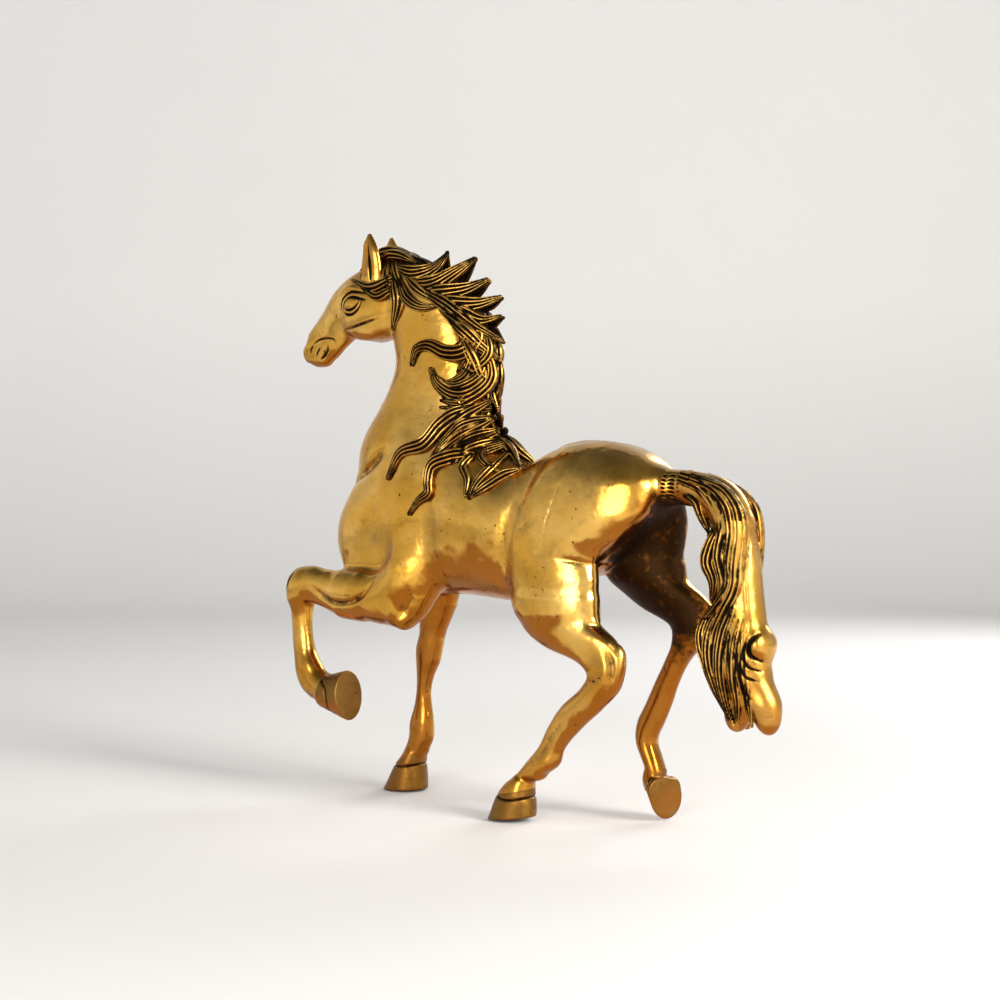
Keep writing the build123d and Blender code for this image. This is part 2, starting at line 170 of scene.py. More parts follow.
class Sweep:
    """Ovals along a curve in a side plane: rows are (x, z, x, z, y, half width), where the two
    points are the ends of the section in the side profile."""

    def __init__(self, rows, count=70, caps=(3, 3), strands=0):
        rows = np.array(rows, float)
        self.strands = strands
        middle = (rows[:, 0:2] + rows[:, 2:4]) / 2
        half = (rows[:, 0:2] - rows[:, 2:4]) / 2
        data = np.column_stack([middle, half, rows[:, 4:6]])
        data = resample(data, count, 2)
        self.follow(data[:, 0:2])
        self.radius = np.abs((data[:, 2:4] * self.normal).sum(1))
        self.y = data[:, 4]
        self.width = data[:, 5]
        self.caps = caps

    def follow(self, path):
        """Sets the path, with the directions along and across it."""
        self.path = path
        tangent = np.gradient(path, axis=0)
        self.tangent = tangent / np.linalg.norm(tangent, axis=1)[:, None]
        self.normal = np.column_stack([-self.tangent[:, 1], self.tangent[:, 0]])

    def locate(self, xs, zs):
        """For each (x, z): a reader of columns at the nearest place on the path, that place,
        and how far off it lies across and along the path."""
        px, pz = np.meshgrid(xs, zs, indexing="ij")
        place = nearest_on(self.path, px, pz)[1]
        numbers = np.arange(len(self.path))

        def read(column):
            return np.interp(place, numbers, column)

        dx = px - read(self.path[:, 0])
        dz = pz - read(self.path[:, 1])
        across = dx * read(self.normal[:, 0]) + dz * read(self.normal[:, 1])
        beyond = dx * read(self.tangent[:, 0]) + dz * read(self.tangent[:, 1])
        return read, place, across, beyond

    def groove(self, xs, zs):
        """How deep in a groove each (x, z) is, from 0 on a strand to 1 between two."""
        read, _, across, _ = self.locate(xs, zs)
        radius = read(self.radius)
        phase = np.pi * self.strands * (across / radius + 1)
        return (0.5 + 0.5 * np.cos(phase)) ** 1.2, 2 * radius / self.strands

    def reach(self, margin):
        size = self.radius.max() + max(self.caps) + margin
        low = [self.path[:, 0].min() - size, (self.y - self.width).min() - margin,
               self.path[:, 1].min() - size]
        high = [self.path[:, 0].max() + size, (self.y + self.width).max() + margin,
                self.path[:, 1].max() + size]
        return np.array(low), np.array(high)

    def measure(self, xs, ys, zs):
        read, place, across, beyond = self.locate(xs, zs)
        along = across / read(self.radius)
        before = np.maximum(-beyond, 0) * (place <= 0) / self.caps[0]
        after = np.maximum(beyond, 0) * (place >= len(self.path) - 1) / self.caps[1]
        across = (ys[None, :, None] - read(self.y)[:, None, :]) / read(self.width)[:, None, :]
        return np.sqrt((along ** 2 + (before + after) ** 2)[:, None, :] + across ** 2)


class Ball:
    """Ellipsoid, tilted in the side plane."""

    def __init__(self, centre, radii, tilt=0.0):
        self.centre = np.array(centre, float)
        self.radii = np.array(radii, float)
        self.tilt = math.radians(tilt)

    def reach(self, margin):
        size = np.array([max(self.radii[0], self.radii[2]), self.radii[1],
                         max(self.radii[0], self.radii[2])]) + margin
        return self.centre - size, self.centre + size

    def measure(self, xs, ys, zs):
        dx = xs[:, None, None] - self.centre[0]
        dy = ys[None, :, None] - self.centre[1]
        dz = zs[None, None, :] - self.centre[2]
        forward = dx * math.cos(self.tilt) + dz * math.sin(self.tilt)
        upward = dz * math.cos(self.tilt) - dx * math.sin(self.tilt)
        rx, ry, rz = self.radii
        return np.sqrt((forward / rx) ** 2 + (dy / ry) ** 2 + (upward / rz) ** 2)


# ---------------------------------------------------------------- the field

class Field:
    """Distance to the sculpture's surface, in millimetres, on a regular grid."""

    LIMIT = 4.0
    MARGIN = 4.5

    def __init__(self, low, high, pitch):
        self.low = np.array(low, float)
        self.pitch = pitch
        shape = np.ceil((np.array(high) - self.low) / pitch).astype(int) + 1
        self.values = np.full(tuple(shape), self.LIMIT, np.float32)
        self.dark = np.zeros(tuple(shape), np.float32)

    def window(self, low, high):
        shape = np.array(self.values.shape)
        first = np.clip(np.floor((low - self.low) / self.pitch).astype(int), 0, shape)
        last = np.clip(np.ceil((high - self.low) / self.pitch).astype(int) + 1, 0, shape)
        slices = tuple(slice(a, b) for a, b in zip(first, last))
        places = [self.low[i] + self.pitch * np.arange(first[i], last[i]) for i in range(3)]
        return slices, places

    def distance(self, form, places):
        value = form.measure(*places).astype(np.float32)
        slopes = np.gradient(value, self.pitch)
        steepness = np.sqrt(slopes[0] ** 2 + slopes[1] ** 2 + slopes[2] ** 2)
        return np.clip((value - 1) / np.maximum(steepness, 0.01), -60, self.LIMIT + 4)

    def add(self, form, blend=4.0):
        """Joins a form to the sculpture with a fillet about as wide as blend."""
        slices, places = self.window(*form.reach(self.MARGIN + blend / 2))
        if min(len(place) for place in places) < 3:
            return
        new = self.distance(form, places)
        self.values[slices] = melt(self.values[slices], new, blend)

    def cut(self, form, blend=1.0):
        """Takes a form out of the sculpture."""
        slices, places = self.window(*form.reach(self.MARGIN))
        if min(len(place) for place in places) < 3:
            return
        new = self.distance(form, places)
        self.values[slices] = -melt(-self.values[slices], new, blend)

    def soften(self, passes):
        values = self.values
        np.clip(values, -self.LIMIT, self.LIMIT, out=values)
        for _ in range(passes):
            for axis in range(3):
                turned = values.swapaxes(0, axis)
                mixed = 0.25 * (turned[:-2] + turned[2:])
                turned[1:-1] = 0.5 * turned[1:-1] + mixed

    def engrave(self, points, side, depth, width, dark=1.0, fade=True, inner_y=1.0):
        """Cuts a line of (x, z) points into one side; a negative depth raises a ridge."""
        line = resample(points, 12 * len(points), 2)
        reach = 3.0 * width
        low = np.array([line[:, 0].min() - reach, -60, line[:, 1].min() - reach])
        high = np.array([line[:, 0].max() + reach, 60, line[:, 1].max() + reach])
        slices, (xs, ys, zs) = self.window(low, high)
        if min(len(xs), len(zs)) < 2:
            return
        px, pz = np.meshgrid(xs, zs, indexing="ij")
        gap, place = nearest_on(line, px, pz)
        strength = 1.0
        if fade:
            strength = np.sqrt(np.sin(np.pi * np.clip(place / (len(line) - 1), 0.03, 0.97)))
        push = depth * strength * np.exp(-gap / width ** 2)
        on_side = np.clip(ys * side - inner_y, 0, 1) if side else np.ones(len(ys))
        push = (push[:, None, :] * on_side[None, :, None]).astype(np.float32)
        self.values[slices] += push
        if dark > 0:
            stained = dark * np.clip(1.5 * push / depth, 0, 1)
            self.dark[slices] = np.maximum(self.dark[slices], stained)

    def read(self, grid, points):
        """Values of one of the field's grids at points, read between its samples."""
        at = (points - self.low) / self.pitch
        shape = np.array(grid.shape)
        base = np.clip(np.floor(at).astype(int), 0, shape - 2)
        u = np.clip(at - base, 0, 1)
        total = np.zeros(len(points))
        for corner in range(8):
            offset = np.array([corner & 1, corner >> 1 & 1, corner >> 2 & 1])
            weight = np.prod(np.where(offset, u, 1 - u), axis=1)
            index = base + offset
            total += weight * grid[index[:, 0], index[:, 1], index[:, 2]]
        return total

    def sample(self, points):
        return self.read(self.values, points)

    def darkness(self, points):
        return self.read(self.dark, points)

    def normals(self, points):
        slopes = []
        for axis in range(3):
            step = np.zeros(3)
            step[axis] = 0.7 * self.pitch
            slopes.append(self.sample(points + step) - self.sample(points - step))
        slopes = np.column_stack(slopes)
        return slopes / np.maximum(np.linalg.norm(slopes, axis=1), 1e-9)[:, None]

    def side_y(self, x, z, side):
        """Outermost Y of the surface at (x, z) on one side, or None outside the outline."""
        ys = side * np.arange(0, 34, 0.4)
        points = np.column_stack([np.full(len(ys), x), ys, np.full(len(ys), z)])
        inside = np.nonzero(self.sample(points) < 0)[0]
        if len(inside) == 0:
            return None
        return ys[inside[-1]]


# ---------------------------------------------------------------- proportions, in millimetres

# (x, top, bottom, y, half width)
TRUNK = [
    (-107, 152, 122, 0, 11), (-99, 165, 112, 0, 18), (-84, 176, 107, 0, 23),
    (-60, 182, 105.5, 0, 26), (-32, 184, 107.5, 0, 28), (-10, 179, 106, 0, 29.5),
    (8, 174, 105, 0, 29), (30, 183, 111, 0, 28.5), (50, 184.5, 121, 0, 28),
    (68, 180.5, 134, 0, 25), (80, 174, 146, 0, 18), (87, 168, 154, 0, 9),
]
# (z, throat, crest, y, half width)
NECK = [
    (146, -97, -34, 0, 18), (158, -100, -16, 0, 21), (170, -100, 0, 0, 21.5),
    (184, -98, -16, 0, 19.5), (192, -94, -21.5, 0, 17.5), (204, -85.5, -24.5, 0, 14.5),
    (218, -78, -25.5, 0, 12.5), (228, -75.5, -28, 0, 11.5), (238, -77, -30, 0, 11.5),
    (250, -79, -34, 0, 11.5), (260, -80, -39, 0, 11), (270, -80, -46, 0, 9.5),
]
# (nose x, nose z, jaw x, jaw z, y, half width)
HEAD = [
    (-64, 283, -77, 243, 0, 8.5), (-84, 282.5, -86, 240.5, 0, 11.5),
    (-102.5, 277.5, -96.5, 242, 0, 11), (-115.5, 270.5, -107.5, 240, 0, 9),
    (-127, 258.5, -115.5, 236, 0, 6.8), (-135.5, 250, -121.4, 231.6, 0, 6.4),
    (-142, 243.5, -128.2, 229.2, 0, 5.8), (-144.8, 240.4, -134.4, 230.8, 0, 4.4),
]
POLL_CUT = ((-62, 284), (-79, 237))
# (z, front, back, y, half width)
NEAR_HAUNCH = [
    (102.5, 13.7, 59.3, -19.4, 11.8), (116, 9.5, 59, -19, 12.8), (130, 7.5, 60.5, -18, 13.5),
    (138, 8.5, 71, -17, 14), (148, 13, 82, -15, 14.5), (160, 24, 85, -11, 14),
]
FAR_HAUNCH = [
    (118, 44, 85, 18, 12), (128, 39, 83.5, 18, 13), (137, 39, 85.5, 17, 14),
    (148, 43, 87, 15, 14.5), (160, 48, 84, 11, 14),
]
NEAR_SHOULDER = [
    (-32, 150, 118, -14, 11), (-50, 142, 94, -17, 12), (-59, 131, 91, -18, 12),
    (-68, 121.5, 91.5, -19, 11.5), (-82, 119, 93, -19, 9.5), (-98, 118.5, 94.5, -19, 8.5),
]
FAR_SHOULDER = [
    (101, -80, -55, 19, 8.6), (112, -82, -51, 18, 10.5), (124, -85, -45, 16, 12),
    (140, -85, -45, 12, 12),
]
DOCK = [(66, 174, 149, 0, 12), (76, 171.5, 151.5, 0, 10), (88, 170, 153, 0, 7.6),
        (100, 169.6, 153, 0, 7.2)]
# (outer x, outer z, inner x, inner z, y, half width)
NEAR_FORELEG = [
    (-84, 119, -84, 93, -19, 9.2), (-98, 118.5, -98, 94.5, -19, 8.5),
    (-111, 119.5, -110, 98.5, -19, 7.6), (-124, 120.5, -115.5, 100, -19, 8.2),
    (-133, 117.5, -118, 99.5, -19, 8.8), (-136, 109, -119.5, 98.5, -19, 8.3),
    (-134, 100, -121.5, 96.5, -19, 6.5), (-133.5, 91, -122, 90.5, -19, 5.3),
    (-133, 81, -121, 82, -19, 5.1), (-131.5, 71.5, -119, 74.5, -19, 5.9),
    (-130, 63, -116, 70, -19, 6.8), (-126, 55, -113.5, 66.5, -19, 6.8),
    (-119, 50, -111, 64.5, -19, 6.8),
]
NEAR_FORE_PASTERN = [(-117, 49.5, -110, 64, -19, 6.8), (-108.5, 46.5, -107, 62.5, -19, 7)]
NEAR_FORE_HOOF = [(-113, 46, -108.5, 63, -19, 8.6), (-96, 40.8, -98, 66.6, -17.6, 10.6),
                  (-87, 38.5, -93, 68, -17.6, 11.4)]
# (z, front, back, y, half width)
FAR_FORELEG = [
    (106, -80, -54, 19, 9), (101, -80, -55, 19, 8.6), (95, -77.5, -56.5, 19, 7.6),
    (86, -76.3, -61, 19, 6.7), (76, -79, -63.5, 19, 6.6), (70, -79, -65, 19, 6),
    (63, -78.7, -68.5, 19, 4.9), (54, -79, -71, 19, 4.1), (46, -80.5, -70.3, 19, 4.4),
    (36, -83.5, -69.2, 19, 5.9), (28, -84, -69.8, 19, 6.2), (22, -86.5, -73, 19, 6.6),
]
FAR_FORE_HOOF = [(-87, 18, -73, 24, 19, 7.5), (-91, 12, -73.5, 20, 19, 9),
                 (-99.4, -0.9, -74.2, 1.5, 19, 11.4), (-103, -6, -75, -6, 19, 12)]
NEAR_HINDLEG = [
    (108, 11.5, 59, -19.2, 12.3), (102.5, 13.7, 59.3, -19.4, 11.8),
    (97, 16.5, 61.8, -19.7, 10.7), (90.5, 22, 70.5, -20, 9.5), (85, 31.5, 75, -20, 8.2),
    (80, 47, 75.5, -20, 7.7), (74, 55, 74.5, -20, 7.5), (67, 51.5, 72, -20, 7.3),
    (58, 40.7, 63.5, -20, 6.4), (47, 32.5, 50.7, -20, 5.5), (37, 27, 41.3, -20, 5.3),
    (28, 19, 37, -20, 6.7), (24, 15.5, 31, -20, 6.6),
]
NEAR_HIND_HOOF = [(11, 17.5, 25, 22, -20, 7.2), (5.5, 12.5, 25.3, 16.5, -20, 8.8),
                  (-1.6, -1.2, 23.5, 1, -20, 11), (-4, -6, 23, -6, -20, 11.5)]
FAR_HINDLEG = [
    (124, 41, 84, 18, 12.6), (118, 44, 85, 18, 12), (110, 51.5, 94.5, 19, 10.3),
    (103, 61, 100.5, 20, 8.6), (96, 75.5, 102, 20, 7.5), (88, 77.7, 96, 20, 7),
    (79, 74.3, 87.2, 20, 6), (68, 68.5, 81, 20, 5.3), (56, 62.5, 76.5, 20, 5.3),
    (47, 58, 72.3, 20, 5.8), (39, 57.6, 68.4, 20, 6.5), (30, 61, 71, 20, 6.4),
    (24, 64, 73, 20, 6.4),
]
# (x, bottom, top, y, half width)
FAR_HIND_HOOF = [(65, 13, 27, 20, 6), (69, 6, 24.6, 20, 8.6), (72.6, 0.5, 21.8, 20, 10.8),
                 (80, -1.6, 20.6, 20, 11.4)]
FAR_HIND_TURN = 14.5

# Where each hoof joins its leg: two (x, z) points across the coronet
CORONETS = {
    "near_fore_hoof": ((-108.5, 63), (-113, 46)),
    "far_fore_hoof": ((-74.5, 22), (-91, 14)),
    "near_hind_hoof": ((25.5, 17), (6.5, 13)),
    "far_hind_hoof": ((71.5, 24.5), (60, 10.5)),
}

# (x, z) lines cut into the near side: depth, width, darkness and the line. A negative depth
# raises a ridge.
BODY_LINES = [
    (1.7, 2.4, 0.3, [(-99, 164), (-92, 167), (-85, 170), (-78, 175), (-70, 181)]),
    (1.6, 1.5, 0.32, [(-113, 109), (-105, 104.6), (-97, 102.4), (-88, 102.6), (-77, 107), (-69, 116)]),
    (0.9, 0.7, 0.9, [(-129, 117), (-132, 112), (-134, 107)]),
    (1.6, 2.6, 0.2, [(-60, 90), (-54.5, 98), (-47, 108)]),
    (2.6, 6.0, 0, [(-41, 104), (-38.5, 125), (-37, 146), (-40, 162)]),
    (-1.6, 6.0, 0, [(-57, 98), (-57, 128), (-55, 160), (-56, 184)]),
    (1.2, 5.0, 0, [(-78, 124), (-77, 145), (-74, 165)]),
    (2.4, 5.4, 0.1, [(29, 178), (20, 160), (13, 141), (8, 116)]),
    (0.5, 1.3, 0.1, [(33, 149), (27, 144), (20, 138)]),
    (0.55, 0.9, 0.15, [(45, 168), (40, 153), (37, 141), (36, 131)]),
    (1.1, 2.2, 0.1, [(50, 186), (27, 182.5), (8, 175)]),
    (0.9, 1.3, 0.3, [(44, 128), (51, 127), (58, 125)]),
    (1.3, 1.0, 0.3, [(58, 98), (64, 94.5), (70, 89.5), (73, 84)]),
    (1.4, 1.6, 0.35, [(69, 86), (71, 78), (69.5, 69)]),
    (0.9, 3.0, 0, [(60, 84), (64, 78), (64, 70)]),
    (0.8, 2.0, 0, [(34, 60), (42, 71), (50, 77)]),
    (1.2, 1.8, 0.25, [(31, 33), (36, 41), (44, 52)]),
]
FACE_LINES = [
    (0.9, 0.55, 1.0, [(-108.4, 257.2), (-107.8, 261.4), (-105.3, 264), (-100.6, 265.6), (-96, 265.2),
                      (-88.6, 264)]),
    (1.0, 0.6, 1.0, [(-105.3, 256.6), (-104.7, 260), (-102.2, 262.2), (-99, 262.7), (-94.4, 261.8),
                     (-89, 260.6)]),
    (0.9, 0.55, 1.0, [(-104.5, 256.8), (-101.4, 256), (-97.5, 256.4), (-94.6, 258.6), (-93.6, 261)]),
    (0.9, 0.55, 1.0, [(-105.6, 255.2), (-101.8, 253.6), (-97.5, 253.6), (-93.4, 256),
                      (-91.2, 260)]),
    (-1.0, 1.6, 0, [(-112, 264), (-105, 268), (-95, 266.8)]),
    (0.8, 0.6, 0.5, [(-106, 246), (-99.1, 246.6), (-92.9, 247.7), (-87, 249), (-81.6, 250.4)]),
    (0.7, 0.45, 0.6, [(-131.4, 239.8), (-128.6, 241.4), (-123.2, 242.6), (-118.8, 242.4),
                      (-115.8, 241.2)]),
    (0.7, 0.4, 0.9, [(-133.8, 235), (-132.6, 237.2), (-131, 239.2)]),
    (0.7, 0.4, 0.9, [(-130, 233.4), (-128.3, 236), (-126.4, 238)]),
    (0.8, 0.5, 0.6, [(-127.6, 231.2), (-124.7, 233.6), (-122.3, 236.4), (-121.3, 238.9)]),
]
# Dashes across the dock: heights, starts and length
HATCH_ROWS = (167, 165, 163.2, 161.2, 159.2, 157.4)
HATCH_COLUMNS = (86.6, 90.8, 95)
HATCH_LENGTH = 3.2


def add_skin(field):
    """Body, neck, head and legs, smooth, in the order in which they grow into each other."""
    field.add(Stack("x", TRUNK, caps=(3.5, 4)), 0.1)
    field.add(Stack("z", NECK, caps=(8, 8)), 9)
    field.add(Stack("z", NEAR_HAUNCH, caps=(6, 12)), 5)
    field.add(Stack("z", FAR_HAUNCH, caps=(6, 12)), 5)
    field.add(Stack("x", NEAR_SHOULDER, caps=(3, 10)), 6)
    field.add(Stack("z", FAR_SHOULDER, caps=(3, 8)), 6)
    field.add(Ball((-78, 15, 143), (19, 11, 24), 20), 8)
    field.add(Ball((-93, -8, 136), (14, 10, 20), 0), 8)
    field.add(Ball((-93, 8, 136), (14, 10, 20), 0), 8)
    field.add(Ball((56, 12, 158), (26, 17, 22), 0), 8)
    field.add(Stack("x", DOCK, caps=(4, 3)), 4)
    field.add(Ball((-58.5, -20, 98.5), (6.5, 9.5, 9.5), 15), 3)
    field.add(Sweep(NEAR_FORELEG), 3)
    field.add(Sweep(NEAR_FORE_PASTERN), 2)
    field.add(Stack("z", FAR_FORELEG, caps=(4, 3)), 3)
    field.add(Stack("z", NEAR_HINDLEG, caps=(4, 3)), 3)
    field.add(Stack("z", FAR_HINDLEG, caps=(4, 3)), 3)
    field.add(Sweep(HEAD, caps=(4, 2.6)), 4)
    for side in (NEAR, FAR):
        field.add(Ball((-91, side * 6.6, 252), (13.4, 5.4, 10), 25), 8)
        field.add(Ball((-100.5, side * 8.2, 259), (6.6, 3.8, 4.6), 10), 2.5)
        field.add(Ball((-99.8, side * 10.8, 259.2), (4.6, 1.9, 2.4), 4), 0.8)
        field.add(Ball((-133.5, side * 4.0, 239.5), (5, 2.4, 3.6), 45), 2.5)
    field.add(Ball((-128.4, 0, 231.8), (3.2, 4.2, 2.4), -35), 3)


def engrave_skin(field):
    for depth, width, dark, line in BODY_LINES:
        field.engrave(line, NEAR, depth, width, dark)
    for side in (NEAR, FAR):
        for depth, width, dark, line in FACE_LINES:
            field.engrave(line, side, depth, width, dark, inner_y=1.5)


# The hoof's form, a point inside it, its sole's two ends in profile, and how far it turns out
HOOVES = {
    "near_fore_hoof": (Sweep(NEAR_FORE_HOOF, caps=(3, 0.6)), (-108, -19, 55),
                       ((-97.2, 66.6), (-95, 40.8)), 0),
    "far_fore_hoof": (Sweep(FAR_FORE_HOOF, caps=(3, 0.6)), (-82, 19, 20), ((-74, 1), (-99, 0)), 0),
    "near_hind_hoof": (Sweep(NEAR_HIND_HOOF, caps=(3, 0.6)), (17, -20, 18),
                       ((23, 2.6), (-2, 0)), 0),
    "far_hind_hoof": (Stack("x", FAR_HIND_HOOF, caps=(3, 1)), (66, 20, 16),
                      ((74.4, 21.2), (72.2, -1.4)), FAR_HIND_TURN),
}
# Balls that square the back of a sole
HEELS = {"far_hind_hoof": ((72.4, 12.9, 16.4), (72.4, 27.1, 16.4))}
HEEL_SIZE = (4.4, 4, 4.6)
# (x, z) lines engraved round the hooves under the coronet
HOOF_RINGS = {
    "near_fore_hoof": [(-110, 61.5), (-104.5, 57), (-103.5, 51), (-105, 43)],
    "far_fore_hoof": [(-96, 14.2), (-86, 13.6), (-70, 16)],
    "near_hind_hoof": [(0, 13.8), (13, 11.2), (30, 14.2)],
    "far_hind_hoof": [(57, 2), (66.5, 12), (69, 25)],
}


# ---------------------------------------------------------------- hair

LOCK_POINTS = 60


class Lock(Sweep):
    """A lock of hair: an oval sweep along (x, z) points that tapers to its tip, with grooves
    between its strands."""

    def __init__(self, route, ys, width, thickness, strands, root=0.45, tip=0.32):
        rows = np.column_stack([np.array(route, float), np.broadcast_to(ys, (len(route),))])
        data = resample(rows, LOCK_POINTS, 2)
        self.follow(data[:, 0:2])
        share = np.linspace(0, 1, LOCK_POINTS)
        belly = curve_through([0, 0.25, 0.7, 1], [root, 1, 0.82, tip], share)[:, 0]
        self.radius = 0.5 * width * belly
        self.y = data[:, 2]
        self.width = thickness * np.maximum(belly, 0.35)
        self.caps = (1.5, 1.6)
        self.strands = strands


def comb(field, lock, blend=0.5, depth=1.0, patina_and_shade=0.0):
    """Adds one lock and its grooves to the hair, and darkens the grooves."""
    slices, places = field.window(*lock.reach(field.MARGIN))
    if min(len(place) for place in places) < 3:
        return
    groove, spacing = lock.groove(places[0], places[2])
    cut = (groove * np.minimum(depth, 0.55 * spacing))[:, None, :].astype(np.float32)
    new = field.distance(lock, places) + cut
    old = field.values[slices]
    gap = new - old
    field.values[slices] = melt(old, new, blend)
    front = np.clip(0.5 - gap / 0.6, 0, 1)
    dark = field.dark[slices]
    crease = np.clip(1 - np.abs(gap) / 0.7, 0, 1) * 0.8
    groove = np.maximum(groove, patina_and_shade)
    mixed = dark * (1 - front) + np.broadcast_to(groove[:, None, :], dark.shape) * front
    field.dark[slices] = np.maximum(mixed, crease)


CREST_Y = 3.5           # How far from the middle the locks lie where they top the crest


def on_ground(ground, route, side, lift):
    """Y for each point of a route: the surface of the ground there, plus a lift."""
    ys = []
    for x, z in route:
        y = ground.side_y(x, z, side)
        ys.append(None if y is None else y + side * lift)
    return [side * CREST_Y if y is None else y for y in ys]


# Near-side locks. Each is (route, Y along it or the lift off the skin, width, strands). The far
# side repeats them with small changes.
CREST_SPIKES = [
    ([(-71, 276), (-58.5, 272), (-49, 275), (-44, 282)], [-8.5, -8.5, -5, -0.8], 9.5, 5),
    ([(-62, 267), (-46, 266), (-35.5, 272), (-27, 278)], [-9.5, -8.5, -4.5, -0.8], 10, 5),
    ([(-52, 262), (-37, 261.5), (-28, 263), (-18.5, 267)], [-10, -8.5, -4.5, -0.8], 9, 4),
    ([(-43, 258), (-30, 255), (-20, 255), (-10.5, 257.6)], [-10.5, -8.5, -4.5, -0.8], 8.5, 4),
    ([(-38, 255), (-26, 250), (-18, 246.5), (-10.5, 248)], [-10.5, -8, -4.5, -0.8], 7, 3),
    ([(-52, 263), (-34, 253), (-20, 242), (-8.5, 235)], [-11, -10.5, -6, -0.8], 8, 4),
    ([(-34, 247), (-25, 240), (-18, 232), (-11, 226)], [-11, -9.5, -5, -0.8], 8, 4),
    ([(-40, 252), (-30, 246), (-22, 240), (-16, 231)], [-11, -10, -8, -4], 6, 3),
    ([(-27, 204), (-21, 209), (-14.2, 214.6)], [-13, -7.5, -0.8], 10, 4),
    ([(-20, 226), (-18.5, 217), (-17.4, 209), (-16.4, 202)], [-3, -3, -3, -3], 8, 3),
    ([(-26, 236), (-21, 226), (-18, 217), (-14.8, 213)], [-10, -8, -5, -0.8], 7, 3),
]
NECK_LOCKS = [
    ([(-30, 249), (-25, 239), (-25, 229), (-31, 221)], 0.3, 7, 4),
    ([(-24, 236), (-22, 227), (-26, 219), (-36, 215)], 0.4, 7, 4),
    ([(-17, 221), (-18, 211), (-27, 204.6), (-38, 206)], 0.3, 7.5, 4),
    ([(-16, 214), (-21, 205), (-31, 202), (-38, 202.5)], 0.4, 6, 3),
    ([(-22, 246), (-20.5, 237), (-26, 231), (-37, 230.4), (-47, 234.5), (-54, 233), (-57.5, 225.5)],
     1.1, 9.4, 4),
    ([(-17, 240), (-16, 229), (-21.5, 222.5), (-31, 218.5)], 0.9, 7.4, 4),
    ([(-16, 230), (-15.5, 216), (-22.5, 208.6), (-33, 209), (-41, 215), (-44.8, 222)], 1.1, 10.6, 5),
    ([(-18, 228), (-19, 219), (-24, 214.5), (-33, 213.5), (-40, 218)], 1.5, 5, 3),
    ([(-24, 243), (-26, 236), (-33, 234)], 0.8, 5, 3),
]
WITHERS_LOCKS = [
    ([(-21.6, 206), (-21.2, 197), (-17, 187), (-8.6, 179.4), (7, 172.4)], [3, 3, 3, 3, 3], 7, 3),
    ([(-14, 206), (-24, 199), (-33, 192), (-40, 183)], 0.3, 8, 4),
    ([(-12, 197), (-21, 191), (-31, 184), (-38, 177)], 0.3, 8.4, 4),
    ([(-10, 190), (-20, 185), (-31, 179)], 0.3, 8, 4),
    ([(-8, 186), (-16, 180), (-25, 174)], 0.3, 7, 3),
    ([(-15, 202), (-26, 200), (-36, 194), (-43, 184.5), (-56, 180), (-64.5, 167)], 1.1, 9.4, 4),
    ([(-12, 197), (-22, 194), (-31, 187), (-37, 179.5)], 1.2, 7, 4),
    ([(-10, 191), (-19, 187), (-28, 180)], 1.2, 6, 3),
    ([(-8, 186), (-15, 182), (-25, 176.5)], 1.3, 6, 3),
    ([(-4, 184), (-15, 179), (-27, 177), (-35.5, 173), (-37, 165), (-36, 159.5),
      (-41.5, 156), (-47, 149)], 1.3, 8.2, 4),
    ([(-14, 180), (-18, 173), (-13.5, 166), (-12, 158)], 1.0, 6, 3),
    ([(-2, 181), (-3.5, 173), (-7, 165), (-9.5, 157)], 1.0, 6, 3),
    ([(-10, 187), (-2, 180), (7, 172.5)], 0.5, 7, 3),
    ([(11, 170.5), (5, 168.4), (-1, 163), (-9, 157)], 0.9, 6, 3),
    ([(-12, 186), (-12, 180), (-5, 172), (3, 169)], 0.6, 5, 3),
]
POLL_LOCKS = [
    ([(-70, 272), (-84, 267), (-101, 272)], 0.7, 6.4, 3),
    ([(-70, 266), (-80, 261.5), (-91, 266.5)], 0.7, 6, 3),
    ([(-72, 272), (-67, 260), (-73, 245)], 0.9, 10, 4),
    ([(-67, 269), (-60, 258.6), (-51, 254), (-41, 255)], 0.7, 6.6, 4),
    ([(-62, 270), (-52, 262), (-44, 257)], 0.7, 6, 3),
    ([(-80, 281), (-76, 272), (-73, 264)], 0.8, 5, 2),
    ([(-76, 281), (-70, 273), (-66, 266)], 0.8, 5.6, 3),
]
FORELOCK = [
    ([(-70, 284), (-80, 285.4), (-92, 283.6), (-103, 276.6)], 0.0, 9, 4),
    ([(-72, 282), (-84, 283.4), (-95, 280), (-101, 273.5)], 3.0, 6, 3),
    ([(-72, 282), (-84, 283.4), (-95, 280), (-101, 273.5)], -3.0, 6, 3),
    ([(-84, 281.5), (-79, 284), (-72, 283.5), (-62, 279)], 4.2, 6, 3),
    ([(-84, 281.5), (-79, 284), (-72, 283.5), (-62, 279)], -4.2, 6, 3),
]
# The low comb under the mane, with rows as in HEAD
COMB_BASE = [
    (-70, 285, -76, 274, 0, 5), (-58, 281, -64, 267, 0, 7), (-44, 273, -56, 260, 0, 7.4),
    (-30, 262, -46, 253, 0, 7.6), (-21, 250, -40, 243, 0, 7.8), (-18.5, 236, -36, 233, 0, 8.2),
    (-18, 222, -33, 220, 0, 8.8), (-18.5, 209, -33, 209, 0, 10), (-19, 198, -33, 197, 0, 12),
    (-15, 187.6, -29, 185, 0, 13.6), (-5, 180, -18, 176, 0, 14),
]

